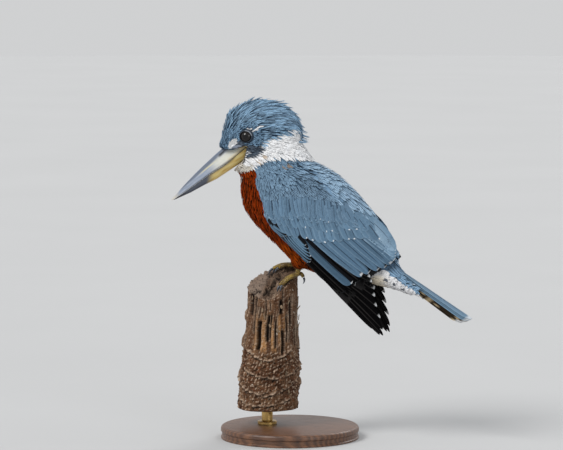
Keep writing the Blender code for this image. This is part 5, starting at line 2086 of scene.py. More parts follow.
@dataclass
class Tail:
    """The twelve tail feathers, the middle pair on top."""

    root: Triple = (111.4, 0.0, 169.6)
    tip: Triple = (184.6, 0.0, 124.4)
    pairs: int = 6
    wide: float = 11.5
    root_spread: float = 4.0
    tip_spread: float = 5.6
    layer: float = 1.0
    droop: float = 4.4
    blunt: float = 0.84
    seed: int = 5

    def build(self) -> bpy.types.Object:
        """Lay the tail feathers.

        Returns:
            The tail piece.
        """
        rng = np.random.default_rng(self.seed)
        root, tip = np.array(self.root), np.array(self.tip)
        ahead = unit(tip - root)
        up = np.array([-ahead[2], 0.0, ahead[0]])
        t, u = QUILL_STEPS, ACROSS
        stock = Vanes()
        spots, tints, local = [], [], []
        for side in Side:
            for n in range(self.pairs):
                share = n / (self.pairs - 1)
                spread = (0.9 + (self.root_spread - 0.9) * share,
                          1.6 + (self.tip_spread - 1.6) * share)
                middle = side.value * (spread[0] + (spread[1] - spread[0]) * t)
                length = np.linalg.norm(tip - root) - 5.0 * share ** 2 - abs(rng.normal(0, 0.5))
                wide = self.wide / 2.0 * (0.5 + 0.5 * ease(0.0, 0.4, t))
                half = wide * np.maximum(blunt_end(t, self.blunt), 0.06)
                y = middle[:, None] - side.value * half[:, None] * u[None]
                spine = root + ahead * (length * t)[:, None]
                drop = self.droop * (np.abs(y) / 11.0) ** 2.0 * (0.35 + 0.65 * t[:, None])
                crown = 0.35 * (1 - np.abs(u))[None]
                height = -0.25 - self.layer * n - drop + crown - (0.03 if side is Side.LEFT else 0.0)
                place3 = spine[:, None] + up * height[..., None]
                place3[..., 1] = y
                web = Web.TAIL_MIDDLE if n < 3 else Web.TAIL_OUTER
                tint = quill_tints(web, share, rng)
                grid = np.stack(np.meshgrid(t, (u + 1) / 2, indexing="ij")[::-1], -1)
                over = slice(None, None, 1 if side is Side.LEFT else -1)
                spots.append(place3[:, over])
                tints.append(tint[:, over])
                local.append(grid[:, over])
        local_all = np.stack(local)
        stock.add(np.stack(spots), np.stack(tints), local_all, strips(local_all))
        finish = VaneFinish("tail_quills", roughness=0.5, shaft_width=0.06, barb_count=46.0,
                            barb_contrast=0.13, relief=0.0001).make()
        piece = place("tail_feathers", stock.mesh("tail_feathers"), finish)
        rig.slot(piece, "slate_plumage")
        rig.replaces(piece, "tail")
        return piece


# ------------------------------------------------------------------ bill

@dataclass
class Bill:
    """Both mandibles, with ridge, nostrils and cutting edges.

    Places on the bill are given as reach, from the tip back, and height square to it.
    """

    tip: Pair = (-117.6, 233.0)
    pitch: float = math.atan2(0.6, 0.8)
    culmen: tuple = ((0.0, 0.3), (8.0, 2.0), (19.5, 4.4), (34.0, 6.8), (47.0, 8.5), (60.0, 9.9),
                     (70.0, 10.7), (94.0, 12.6))
    tomium: tuple = ((0.0, -0.7), (20.0, -1.6), (49.0, -2.4), (63.0, -3.3), (73.0, -3.6), (83.0, -3.3),
                     (94.0, -3.0))
    gonys: tuple = ((1.5, -1.3), (10.0, -3.2), (20.0, -5.4), (36.0, -7.6), (48.0, -9.9), (60.0, -10.6),
                    (81.0, -11.7), (94.0, -11.7))
    half_width: tuple = ((0.0, 0.5), (8.0, 1.5), (20.0, 3.1), (34.0, 4.7), (48.0, 6.3), (60.0, 7.9),
                         (70.0, 9.3), (80.0, 10.9), (94.0, 12.6))
    length: float = 92.0
    upper_start: float = 0.15
    lower_start: float = 1.8
    stations: int = 150
    around: int = 26
    nostril: Pair = (67.8, 6.8)
    nostril_size: Pair = (4.2, 0.75)
    nostril_depth: float = 0.9
    groove: tuple = ((20.0, 2.9), (40.0, 4.6), (62.0, 6.2), (80.0, 8.0))
    groove_depth: float = 0.28
    dark_line: tuple = ((0.0, 0.2), (20.0, 2.7), (40.0, 4.4), (62.0, 6.0), (90.0, 8.6))

    def _ring_points(self, reach: Array, y: Array, height: Array) -> Array:
        """Places of the straight bird for reaches, sides and heights."""
        c, s = math.cos(self.pitch), math.sin(self.pitch)
        return np.stack([self.tip[0] + c * reach - s * height, y, self.tip[1] + s * reach + c * height], -1)

    def _grid(self, upper: bool) -> tuple[Array, Array, Array]:
        """Reach, side and height over one mandible, as (stations, around)."""
        start = self.upper_start if upper else self.lower_start
        reach = start + (self.length - start) * np.linspace(0, 1, self.stations) ** 1.15
        ridge = along(self.culmen, reach) if upper else along(self.gonys, reach)
        edge = along(self.tomium, reach) + (0.12 if upper else -0.12)
        if not upper:
            ridge = np.minimum(ridge, edge - 0.3)
        half = along(self.half_width, reach) * (1.0 if upper else 0.97)
        power = 0.60 if upper else 0.52
        steps = np.concatenate([[0.0], np.cumsum(np.linspace(1.0, 2.2, self.around // 2 - 1))])
        steps /= steps[-1]
        height = edge[:, None] + (ridge - edge)[:, None] * (1 - steps[None] ** 1.25)[:, ::-1]
        share = np.clip((height - ridge[:, None]) / (edge - ridge)[:, None], 0.0, 1.0)
        wide = np.maximum(half[:, None] * share ** power, 0.0)
        reach2 = np.repeat(reach[:, None], height.shape[1], 1)
        full_reach = np.concatenate([reach2, reach2[:, ::-1]], 1)
        full_y = np.concatenate([wide, -wide[:, ::-1]], 1)
        full_height = np.concatenate([height, height[:, ::-1]], 1)
        return full_reach, full_y, full_height

    @staticmethod
    def _streaks(reach: Array, height: Array, stretch: Pair, seed: int) -> Array:
        """Soft streaks along a mandible."""
        places = np.column_stack([reach.ravel() * stretch[0], height.ravel() * stretch[1]])
        return rough(places, 6.0, seed).reshape(reach.shape)

    def _upper_relief(self, reach: Array, height: Array) -> tuple[Array, Array]:
        """How far the upper mandible's nostril and groove sink, and the nostril's mask."""
        nr, nh = self.nostril
        slant = height - nh - 0.07 * (reach - nr)
        slit = np.exp(-(((reach - nr) / self.nostril_size[0]) ** 4 + (slant / self.nostril_size[1]) ** 2))
        groove = np.exp(-((height - along(self.groove, reach)) / 0.5) ** 2)
        groove = groove * ease(24.0, 44.0, reach) * ease(72.0, 64.0, reach)
        return self.nostril_depth * slit + self.groove_depth * groove, slit

    def _upper_tones(self, reach: Array, height: Array, slit: Array) -> Array:
        """Colours of the upper mandible."""
        ridge, edge = along(self.culmen, reach), along(self.tomium, reach)
        up = np.clip((height - edge) / (ridge - edge), 0, 1)
        grey, light, slate = tone(122, 133, 152), tone(150, 158, 172), tone(62, 71, 86)
        cream, yellow, horn = tone(206, 205, 192), tone(196, 166, 84), tone(196, 190, 176)
        shade = self._streaks(reach, height, (0.35, 2.2), 3)
        out = laid(grey, light, np.clip(0.5 + 0.5 * shade, 0, 1))
        line = along(self.dark_line, reach)
        top = ease(6.0, 22.0, reach) / (1 + np.exp(-(height - line) / 0.22))
        out = laid(out, slate * 1.15, top * 0.72)
        crest = ease(0.9, 1.0, up) * ease(14.0, 30.0, reach)
        out = laid(out, grey, crest * 0.6)
        warm = ease(44.0, 64.0, reach) * ease(0.80, 0.45, up)
        out = laid(out, cream, warm * 0.85)
        glint = np.exp(-((height - line + 0.7) / 0.45) ** 2)
        glint = glint * ease(34.0, 46.0, reach) * ease(68.0, 60.0, reach)
        out = laid(out, tone(206, 196, 150), glint * 0.8)
        lip = ease(66.0, 74.0, reach) * ease(0.20, 0.06, up)
        out = laid(out, yellow, lip * 0.95)
        out = laid(out, horn, ease(13.0, 3.0, reach) * 0.8)
        seam = ease(0.085, 0.03, up) * ease(2.0, 10.0, reach)
        out = out * (1 - 0.88 * seam)[..., None]
        # The nostril opening is painted nearly black: painted shade in the hole.
        return out * (1 - 0.93 * np.clip(slit * 1.5, 0, 1))[..., None]

    def _lower_tones(self, reach: Array, height: Array) -> Array:
        """Colours of the lower mandible."""
        ridge, edge = along(self.gonys, reach), along(self.tomium, reach)
        down = np.clip((height - edge) / (ridge - edge), 0, 1)
        shade = self._streaks(reach, height, (0.4, 2.0), 8)
        yellow, ochre = tone(232, 212, 146), tone(200, 160, 74)
        slate, dark = tone(92, 98, 110), tone(58, 58, 62)
        out = laid(yellow, ochre, np.clip(0.25 + 0.4 * shade, 0, 1))
        out = laid(out, ochre * 0.85, 0.5 * ease(0.75, 1.0, down))
        grey = laid(slate, dark, ease(26.0, 4.0, reach))
        grey = grey * (1.0 - 0.35 * ease(0.5, 1.0, down))[..., None]
        far = ease(50.0, 39.0, reach + 7.0 * (down - 0.5))
        far = np.maximum(far, 0.75 * ease(0.26, 0.12, down) * ease(80.0, 64.0, reach))
        out = laid(out, grey, far)
        seam = ease(0.05, 0.015, down) * ease(86.0, 70.0, reach)
        return out * (1 - 0.75 * seam)[..., None]

    def _shell(self, name: str, upper: bool) -> bpy.types.Mesh:
        """One mandible's closed mesh."""
        reach, y, height = self._grid(upper)
        slit = np.zeros_like(reach)
        if upper:
            sink, slit = self._upper_relief(reach, height)
            y = np.sign(y) * np.maximum(np.abs(y) - sink, 0.0)
        spots = self._ring_points(reach, y, height)
        rows, cols = reach.shape
        faces = ring_faces(rows, cols, flip=True)
        faces += [range(cols)[::-1], range((rows - 1) * cols, rows * cols)]
        mesh = mesh_from(name, TURN.turn(spots.reshape(-1, 3)), faces)
        tones = self._upper_tones(reach, height, slit) if upper else self._lower_tones(reach, height)
        paint(mesh, np.clip(tones.reshape(-1, 3), 0, 1))
        face_outward(mesh)
        mesh.set_sharp_from_angle(angle=math.radians(48.0))
        return mesh

    def build(self) -> list[bpy.types.Object]:
        """Build and dress both mandibles.

        Returns:
            The upper and the lower mandible.
        """
        finish = PaintedFinish("bill_horn", roughness=0.36, scale=260.0, stretch=(1.0, 2.6, 2.6),
                               contrast=0.14, relief=0.00007, coat=0.12).make()
        pieces = []
        for name, upper, slot in (("bill_upper_horn", True, "bill_grey"),
                                  ("bill_lower_horn", False, "bill_yellow")):
            piece = place(name, self._shell(name, upper), finish)
            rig.slot(piece, slot)
            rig.replaces(piece, "bill_upper" if upper else "bill_lower")
            pieces.append(piece)
        return pieces


# ------------------------------------------------------------------ eyes

@dataclass
class Eyes:
    """Glossy dark eyes with their lids."""

    centre: Triple = (-41.2, 13.5, 296.9)
    radius: float = 6.6
    forward: float = math.radians(13.0)
    raised: float = math.radians(4.0)
    iris: float = 5.0
    pupil: float = 2.7
    bulge: float = 0.018
    ball_rings: int = 44
    ball_around: int = 56
    lid_around: int = 64
    lid_profile: tuple = ((5.2, 3.95), (5.25, 4.45), (5.5, 4.8), (5.85, 4.75), (6.2, 4.2), (6.6, 3.3),
                          (7.1, 2.3), (7.8, 1.4), (8.8, 0.4))

    def axes(self, side: Side) -> tuple[Array, Array, Array, Array]:
        """Centre of an eye, and its outward, forward and upward ways, on the straight bird."""
        cf, sf = math.cos(self.forward), math.sin(self.forward)
        ce, se = math.cos(self.raised), math.sin(self.raised)
        out = np.array([-sf * ce, side.value * cf * ce, se])
        ahead = np.array([-cf, -side.value * sf, 0.0])
        up = unit(np.cross(ahead, out) * (1 if side is Side.RIGHT else -1))
        if up[2] < 0:
            up = -up
        centre = np.array(self.centre) * np.array([1.0, side.value, 1.0])
        return centre, out, ahead, up

    def _ball(self, side: Side, finish: bpy.types.Material) -> bpy.types.Object:
        """One eyeball, with iris and pupil painted round its axis."""
        centre, out, ahead, up = self.axes(side)
        around = self.ball_around
        polar = np.linspace(0.0, math.pi, self.ball_rings + 1)[1:-1]
        turn = np.linspace(0, math.tau, around, endpoint=False)
        radius = self.radius * (1.0 + self.bulge * np.exp(-(polar / 0.5) ** 2))
        body = (out * (radius * np.cos(polar))[:, None, None]
                + (ahead * np.cos(turn)[:, None] + up * np.sin(turn)[:, None])[None]
                * (radius * np.sin(polar))[:, None, None])
        spots = np.concatenate([centre + body.reshape(-1, 3), [centre + out * radius[0]],
                                [centre - out * self.radius]])
        front, back = len(spots) - 2, len(spots) - 1
        faces = ring_faces(len(polar), around) + cap_faces(front, 0, around)
        faces += cap_faces(back, (len(polar) - 1) * around, around, flip=True)
        mesh = mesh_from("eyeball_" + side.label, TURN.turn(spots), faces)
        reach = np.concatenate([np.repeat(radius * np.sin(polar), around), [0.0], [0.0]])
        deep = np.concatenate([np.repeat(polar, around), [0.0], [math.pi]])
        tones = np.tile(tone(19, 15, 14), (len(spots), 1))
        tones[reach < self.pupil] = tone(4, 4, 6)
        rim = ease(self.iris - 0.9, self.iris, reach)[:, None]
        tones = tones * (1 - 0.75 * rim)
        tones[deep > 1.3] = tone(16, 13, 12)
        paint(mesh, tones)
        face_outward(mesh)
        piece = place("eyeball_" + side.label, mesh, finish)
        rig.slot(piece, "eye")
        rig.replaces(piece, "eye_" + side.label)
        return piece

    def lids(self, side: Side) -> tuple[Array, list, Array]:
        """The ring of lids of one eye, to be joined to the skin.

        Args:
            side: Which eye.

        Returns:
            Places on the posed bird, faces, and tones.
        """
        centre, out, ahead, up = self.axes(side)
        around = self.lid_around
        turn = np.linspace(0, math.tau, around, endpoint=False)
        profile = spline(self.lid_profile, np.linspace(0, len(self.lid_profile) - 1, 25))
        ripple = 0.10 * np.sin(turn * 17 + 0.6) + 0.07 * np.sin(turn * 31)
        spots, tones = [], []
        for k, (r, h) in enumerate(profile):
            share = k / (len(profile) - 1)
            wide = r * (1.0 + 0.07 * np.abs(np.cos(turn)) ** 3) * (1.0 - 0.03 * np.sin(turn) ** 2)
            level = h + ripple * math.sin(math.pi * min(1.0, share * 1.6)) - 0.35 * np.cos(turn) ** 2 * share
            level = level + 0.25 * ease(0.2, 1.0, np.sin(turn)) * (1 - share)
            spots.append(centre + out * level[:, None]
                         + ahead * (wide * np.cos(turn))[:, None] + up * (wide * np.sin(turn))[:, None])
            rim = tone(24, 27, 32) if share < 0.3 else tone(56, 65, 77)
            band = np.tile(rim, (around, 1)) * (1.0 + 0.25 * np.sin(turn * 23 + 5 * share))[:, None]
            if 0.2 < share < 0.5:
                rear = np.cos(turn + 0.95) < -0.72
                band[rear] = tone(128, 134, 142)
            tones.append(band)
        faces = ring_faces(len(profile), around)
        return TURN.turn(np.concatenate(spots)), faces, np.concatenate(tones)

    def build(self) -> list[bpy.types.Object]:
        """Build and dress both eyeballs.

        Returns:
            The eyeballs.
        """
        finish = PaintedFinish("eye_gloss", roughness=0.1, scale=900.0, contrast=0.35, relief=0.00001,
                               coat=0.1, gloss=0.3).make()
        return [self._ball(side, finish) for side in Side]


def join_shell(piece: bpy.types.Object, spots: Array, faces: list, tones: Array, middle: Array) -> None:
    """Join an open shell to a painted piece, facing away from a middle point.

    Args:
        piece: The piece that takes the shell.
        spots: Places in millimetres.
        faces: Vertex numbers of its faces.
        tones: Its colours.
        middle: The point that its faces look away from.
    """
    mesh = piece.data
    old = np.empty(len(mesh.vertices) * 4, np.float32)
    mesh.color_attributes["plumage"].data.foreach_get("color", old)
    a, b, c = (spots[i] for i in faces[0][:3])
    if np.dot(np.cross(b - a, c - a), a - middle) < 0:
        faces = [face[::-1] for face in faces]
    bm = bmesh.new()
    bm.from_mesh(mesh)
    verts = [bm.verts.new(spot) for spot in (spots * MM).tolist()]
    for face in faces:
        bm.faces.new([verts[i] for i in face]).smooth = True
    bm.to_mesh(mesh)
    bm.free()
    mesh.color_attributes.remove(mesh.color_attributes["plumage"])
    paint(mesh, np.concatenate([old.reshape(-1, 4)[:, :3], tones]))


# ------------------------------------------------------------------ feet and claws

@dataclass(frozen=True)
class FootFinish:
    """Scaly ochre skin of the toes."""

    name: str = "toe_skin"
    pale: Triple = (176, 148, 66)
    dark: Triple = (104, 80, 30)
    scale_size: float = 900.0

    def make(self) -> bpy.types.Material:
        """Build the material."""
        material, kit, shader = start_material(self.name, Roughness=0.55, Coat_Weight=0.08)
        where = kit.add("ShaderNodeTexCoord")
        cells = kit.add("ShaderNodeTexVoronoi", feature="DISTANCE_TO_EDGE")
        cells.inputs["Scale"].default_value = self.scale_size
        kit.join(where.outputs["Object"], cells.inputs["Vector"])
        seam = kit.span(cells.outputs["Distance"], 0.0, 0.16)
        patch = kit.noise(where.outputs["Object"], 160.0)
        base = kit.blend(kit.span(patch, 0.35, 0.65), tone(*self.dark), tone(*self.pale))
        lined = kit.blend(kit.maths("SUBTRACT", 1.0, seam), base, tone(*self.dark) * 0.6)
        add_grain(kit, shader, lined)
        add_bump(kit, shader, seam, 0.00035)
        return material


@dataclass(frozen=True)
class ClawFinish:
    """Dark blue-grey horn of the claws, in paler streaks."""

    name: str = "claw_horn"

    def make(self) -> bpy.types.Material:
        """Build the material."""
        material, kit, shader = start_material(self.name, Roughness=0.3, Coat_Weight=0.25)
        where = kit.add("ShaderNodeTexCoord")
        streak = kit.noise(where.outputs["Object"], 600.0, 4.0)
        base = kit.blend(kit.span(streak, 0.35, 0.7), tone(34, 38, 46), tone(92, 100, 112))
        kit.join(base, shader.inputs["Base Color"])
        add_bump(kit, shader, streak, 0.00008)
        return material


@dataclass
class Feet:
    """Both feet and their claws, rounded from the frame's solids."""

    voxel: float = 0.5
    rounds: int = 5
    swell: float = 0.12
    scute_height: float = 0.10
    scute_gap: float = 1.7
    claws: tuple = ("outer", "middle", "inner", "hind")

    def build(self) -> list[bpy.types.Object]:
        """Build and dress the feet and claws.

        Returns:
            The pieces.
        """
        toe, horn = FootFinish().make(), ClawFinish().make()
        pieces = []
        for side in Side:
            name = "foot_" + side.label
            mesh = remeshed(node_mesh(name), self.voxel, self.rounds)
            places, normals = read_mesh(mesh)
            along_toe = places @ np.array([0.94, 0.0, 0.34])
            scute = self.scute_height * np.maximum(np.sin(along_toe * math.tau / self.scute_gap), -0.2)
            scute = scute * ease(-0.2, 0.5, normals[:, 2])
            write_places(mesh, places + normals * (self.swell + scute)[:, None])
            piece = place(f"toes_{side.label}", mesh, toe)
            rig.slot(piece, "foot_skin")
            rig.replaces(piece, name)
            pieces.append(piece)
            for claw in self.claws:
                node = f"claw_{claw}_{side.label}"
                made = evaluated(node_mesh(node), [("SUBSURF", {"levels": 2, "render_levels": 2})])
                piece = place(f"horn_{claw}_{side.label}", made, horn)
                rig.slot(piece, "claw_horn")
                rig.replaces(piece, node)
                pieces.append(piece)
        return pieces


# ------------------------------------------------------------------ perch and stand

@dataclass(frozen=True)
class Slot:
    """A long opening between the stem's fibres, by turn in degrees and height."""

    turn: float
    low: float
    high: float
    wide: float
    deep: float


@dataclass(frozen=True)
class LeafScar:
    """The lip that a fallen leaf left: height at its lowest, its dip, and its lift."""

    height: float
    dip: float
    lift: float
    turn: float = 0.0
    spread: float = 180.0


@dataclass
class StemFace:
    """The stem's surface while it is worked.

    `turn` is in degrees round the stem from its front. `wall` is the surface as if it were
    evenly round. `side`, `top` and `lower` are 1 on the wall, on the cut end and where the
    leaves stood. `move` is outward and `lift` square to the cut end, in millimetres.
    """

    places: Array
    normals: Array
    turn: Array
    wall: Array
    radial: Array
    side: Array
    top: Array
    lower: Array
    move: Array = field(init=False)
    lift: Array = field(init=False)
    # Painted shade: in the slots, the hollows and the cracks, and under the scars' lips.
    dark: Array = field(init=False)
    # Paler tones, with a painted highlight along the rim of the cut end.
    pale: Array = field(init=False)

    def __post_init__(self) -> None:
        """Start from the plain surface."""
        self.move, self.lift, self.dark, self.pale = np.zeros((4, len(self.places)))

    def darken(self, shade: Array) -> None:
        """Paint shade on places that are not yet as dark."""
        self.dark = np.maximum(self.dark, shade)


def wrapped(degrees: Array) -> Array:
    """Turns in degrees, brought between -180 and 180."""
    return (degrees + 180.0) % 360.0 - 180.0


@dataclass
class DeadStem:
    """The cut length of dead stem: fibre slots above, rough leaf scars below."""

    facing: float = -72.0
    voxel: float = 0.75
    rounds: int = 2
    radius: float = 25.0
    foot: float = 28.0
    hidden_slots: int = 34
    short_slots: int = 16
    splinters: int = 46
    front_splinters: int = 12
    top_from: float = 120.0
    axis: tuple = ((28.0, -23.6), (60.0, -21.6), (95.0, -19.4), (130.0, -17.2), (170.0, -16.8))
    seed: int = 12
    slots: tuple = (
        Slot(-58.0, 122.0, 146.0, 13.0, 5.0), Slot(20.0, 124.0, 138.0, 8.0, 4.0),
        Slot(-9.0, 97.0, 123.0, 6.0, 3.6), Slot(-28.0, 88.0, 117.0, 10.0, 4.6),
        Slot(24.0, 84.0, 108.0, 6.0, 4.2), Slot(-3.0, 100.0, 124.0, 4.0, 2.6),
        Slot(42.0, 112.0, 140.0, 5.0, 2.6), Slot(33.0, 96.0, 124.0, 4.0, 2.2),
        Slot(-42.0, 104.0, 140.0, 4.0, 2.2), Slot(9.0, 90.0, 118.0, 4.0, 2.4),
        Slot(60.0, 92.0, 128.0, 5.0, 2.4), Slot(-18.0, 121.0, 140.0, 4.0, 1.8),
    )
    scars: tuple = (
        LeafScar(79.0, 26.0, 2.0, -4.0, 50.0), LeafScar(61.0, 15.0, 1.4, 6.0, 78.0),
        LeafScar(45.0, 18.0, 1.3, -8.0, 80.0), LeafScar(33.5, 14.0, 1.2, -12.0, 60.0),
        LeafScar(84.0, 5.0, 0.8, 175.0, 105.0), LeafScar(58.0, 6.0, 0.8, 168.0, 90.0),
    )
    hollows: tuple = ((-18.0, -14.0, 3.4, 3.4), (-15.8, -7.0, 3.4, 4.2), (-13.5, 0.5, 3.6, 3.8),
                      (-28.0, -17.0, 3.2, 3.2), (-22.0, 12.0, 4.0, 2.5))
    lip: tuple = ((-10.0, -20.4), (-4.3, -15.4), (3.3, -7.3), (6.5, -2.0))
    flakes: tuple = ((-84.0, 121.0, 5.0), (-88.0, 96.0, 6.0), (-82.0, 62.0, 7.0), (84.0, 70.0, 5.0),
                     (96.0, 52.0, 6.0), (150.0, 104.0, 8.0), (-140.0, 82.0, 8.0))

    def _all_slots(self) -> list[Slot]:
        """The slots that are set, and more at random round the hidden sides."""
        rng = np.random.default_rng(self.seed)
        more = []
        for _ in range(self.hidden_slots):
            turn = rng.uniform(68.0, 292.0)
            low = rng.uniform(84.0, 122.0)
            more.append(Slot(turn, low, low + rng.uniform(10.0, 34.0), rng.uniform(3.0, 7.0),
                             rng.uniform(1.4, 3.6)))
        for _ in range(self.short_slots):
            low = rng.uniform(90.0, 138.0)
            more.append(Slot(rng.uniform(-65.0, 65.0), low, low + rng.uniform(5.0, 13.0), 2.6,
                             rng.uniform(0.8, 1.8)))
        return list(self.slots) + more

    def _face(self, places: Array, normals: Array) -> StemFace:
        """Where each place of the plain stem lies."""
        x, y, z = places.T
        centre = along(self.axis, z)
        turn = wrapped(np.degrees(np.arctan2(y, x - centre)) - self.facing)
        round_way = np.column_stack([np.cos(np.radians(turn)), np.sin(np.radians(turn))])
        return StemFace(
            places=places, normals=normals, turn=turn,
            wall=np.column_stack([round_way * self.radius, z]),
            radial=unit(np.column_stack([x - centre, y, np.zeros(len(x))])),
            side=ease(0.75, 0.35, np.abs(normals[:, 2])),
            top=ease(0.45, 0.8, normals[:, 2]) * (z > self.top_from),
            lower=ease(94.0, 80.0, z))

    def _cut_slots(self, face: StemFace) -> None:
        """Sink the slots between the fibres, with painted shade in them and paler lips beside them."""
        z = face.places[:, 2]
        warp = 2.2 * rough(face.wall * np.array([1, 1, 0.4]), 16.0, 2)
        for slot in self._all_slots():
            gap = wrapped(face.turn - slot.turn + warp)
            ends = ease(slot.low - 1.5, slot.low + 2.0, z) * ease(slot.high + 1.5, slot.high - 2.5, z)
            cut = np.exp(-(gap / (slot.wide * 0.5)) ** 4) * ends * face.side
            face.move -= slot.deep * cut
            # Painted shade in the slot, stronger for a deeper slot.
            face.darken(cut * min(1.0, slot.deep / 3.0))
            face.pale += 0.35 * np.exp(-((np.abs(gap) - slot.wide * 0.75) / 1.5) ** 2) * ends * face.side

    def _raise_scars(self, face: StemFace) -> None:
        """Raise the worn lips of the leaf scars, with painted shadow beneath, and the swollen flakes of bark."""
        z = face.places[:, 2]
        rag = 0.9 * rough(face.wall, 9.0, 4)
        for scar in self.scars:
            off = np.radians(wrapped(face.turn - scar.turn))
            level = scar.height + scar.dip * (1 - np.cos(off)) + rag
            span = ease(scar.spread + 12.0, scar.spread - 8.0, np.abs(np.degrees(off)))
            lip = np.exp(-((z - level) / (1.0 + 0.5 * rough(face.wall, 7.0, 52))) ** 2) * span * face.side
            # The band just beneath each lip, which gets a painted shadow.
            under = np.exp(-((z - level + 1.9) / 0.8) ** 2) * span * face.side
            worn = np.clip(0.65 + 0.75 * rough(face.wall, 5.0, 51), 0.1, 1.3)
            face.move += scar.lift * (lip - 0.6 * under) * worn
            face.pale += lip * worn
            face.darken(0.7 * under * worn)
        for way, height, size in self.flakes:
            gap = wrapped(face.turn - way)
            bump = np.exp(-((gap / 11.0) ** 4 + ((z - height) / size) ** 4)) * face.side
            face.move += 2.4 * bump
            face.pale += 0.3 * bump

    def _roughen(self, face: StemFace) -> Array:
        """Roughen the wall: lumpy below, fibrous above, and cracked. Gives how deep the cracks are."""
        wall, lower, side = face.wall, face.lower, face.side
        coarse = rough(wall, 7.0, 6) * 0.45 + rough(wall, 3.2, 7) * 0.34 + rough(wall, 1.8, 9) * 0.2
        fibre = rough(np.column_stack([wall[:, 0], wall[:, 1], wall[:, 2] * 0.08]), 2.6, 8) * 0.34
        face.move += side * (lower * coarse * 1.5 + (1 - lower) * (fibre + 0.3 * coarse))
        crack = np.maximum(rough(wall, 4.2, 21) - 0.42, 0.0) * lower * side
        face.move -= 1.7 * crack
        return crack

    def _break_top(self, face: StemFace) -> None:
        """Break up the cut end: lumps, hollows with painted shade in them, the one high edge, and a painted highlight
        along the rim.
        """
        places, top = face.places, face.top
        x, y = places[:, 0], places[:, 1]
        face.lift += rough(places, 3.4, 10) * 0.9 + np.abs(rough(places, 2.0, 11)) * 0.9
        wide_x, wide_y = x + 2.2 * rough(places, 5.0, 61), y + 2.2 * rough(places, 5.0, 62)
        face.lift += 1.3 * ease(-21.0, -26.0, x) - 0.6 * ease(-20.0, -12.0, x) * ease(4.0, -2.0, x)
        for hx, hy, size, deep in self.hollows:
            pit = np.exp(-(((wide_x - hx) ** 2 + (wide_y - hy) ** 2) / size ** 2) ** 2)
            face.lift -= deep * pit
            # Painted shade in the hollows.
            face.darken(0.85 * pit * top)
        brink = np.exp(-((y - along(self.lip, x)) / 1.3) ** 2) * (x > -11.0) * (x < 7.0)
        face.lift += 1.1 * brink
        upward = face.normals[:, 2]
        rim = ease(0.25, 0.5, upward) * ease(0.93, 0.75, upward) * (places[:, 2] > self.top_from)
        face.pale += 0.9 * brink * top
        face.pale += 0.5 * top * ease(-22.0, -27.0, x)
        # Painted highlight along the rim of the cut end.
        face.pale += np.clip(0.5 + 0.8 * rough(places, 4.0, 63), 0.0, 1.0) * rim

    def build(self) -> bpy.types.Object:
        """Build and dress the stem.

        Returns:
            The stem piece.
        """
        mesh = remeshed(node_mesh("perch_stem"), self.voxel, self.rounds)
        face = self._face(*read_mesh(mesh))
        self._cut_slots(face)
        self._raise_scars(face)
        crack = self._roughen(face)
        self._break_top(face)
        # Painted shade in the cracks.
        face.dark += 0.6 * crack
        spots = (face.places + face.radial * face.move[:, None]
                 + face.normals * (face.top * face.lift)[:, None])
        spots[:, 2] = np.maximum(spots[:, 2], self.foot)
        write_places(mesh, spots)
        paint(mesh, self._tones(face))
        finish = PaintedFinish("weathered_fibre", roughness=0.88, scale=380.0, stretch=(1.0, 1.0, 0.35),
                               contrast=0.5, relief=0.0006)
        piece = place("dead_stem", mesh, finish.make())
        self._add_flakes(piece)
        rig.slot(piece, "dead_stem")
        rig.replaces(piece, "perch_stem")
        return piece

    def _tones(self, face: StemFace) -> Array:
        """Colours of the stem, with its painted shade and painted highlight laid on."""
        wall, lower, top = face.wall, face.lower, face.top
        grey, brown, tan = tone(108, 85, 66), tone(72, 47, 29), tone(172, 136, 94)
        light, black = tone(190, 178, 166), tone(15, 10, 7)
        patch = np.clip(0.5 + 0.55 * rough(wall, 12.0, 31), 0, 1)[:, None]
        out = brown + (grey - brown) * patch
        long_wall = np.column_stack([wall[:, 0], wall[:, 1], wall[:, 2] * 0.06])
        fibres = np.clip(0.5 + 0.8 * rough(long_wall, 3.4, 32), 0, 1)[:, None]
        inner = brown * 0.9 + (tan - brown * 0.9) * fibres
        open_wood = (ease(44.0, 26.0, np.abs(face.turn + 4.0)) * ease(84.0, 92.0, wall[:, 2])
                     * ease(130.0, 112.0, wall[:, 2]))[:, None]
        out = out + (inner - out) * open_wood * 0.85
        speck = np.clip(rough(wall, 2.6, 33) - 0.35, 0, 1) * (0.4 + 0.6 * lower)
        out = laid(out, light, np.clip(speck * 1.7, 0, 0.85))
        rust = np.clip(rough(wall, 4.5, 34) - 0.4, 0, 1) * lower
        out = laid(out, tone(104, 62, 34), np.clip(rust, 0, 0.6))
        out = laid(out, light, np.clip(face.pale * 0.75, 0, 0.8))
        out[rough(wall, 4.2, 35) > 1.45] = tone(196, 198, 196)
        out = laid(out, tone(92, 80, 72) * (0.5 + 0.8 * patch), top * 0.8)
        out = laid(out, tone(150, 142, 138), top * ease(-21.0, -26.0, face.places[:, 0]) * 0.55)
        # Small pits painted as dark spots: painted shade in them.
        pits = np.clip(rough(face.places, 1.9, 36) - 0.32, 0, 1)[:, None]
        out = out * (1 - 0.85 * np.clip(pits * 1.6, 0, 1)) * np.array([0.93, 0.80, 0.68])
        # Lay the painted shade over the colours.
        return laid(out, black, np.clip(face.dark * 1.15, 0, 0.95))

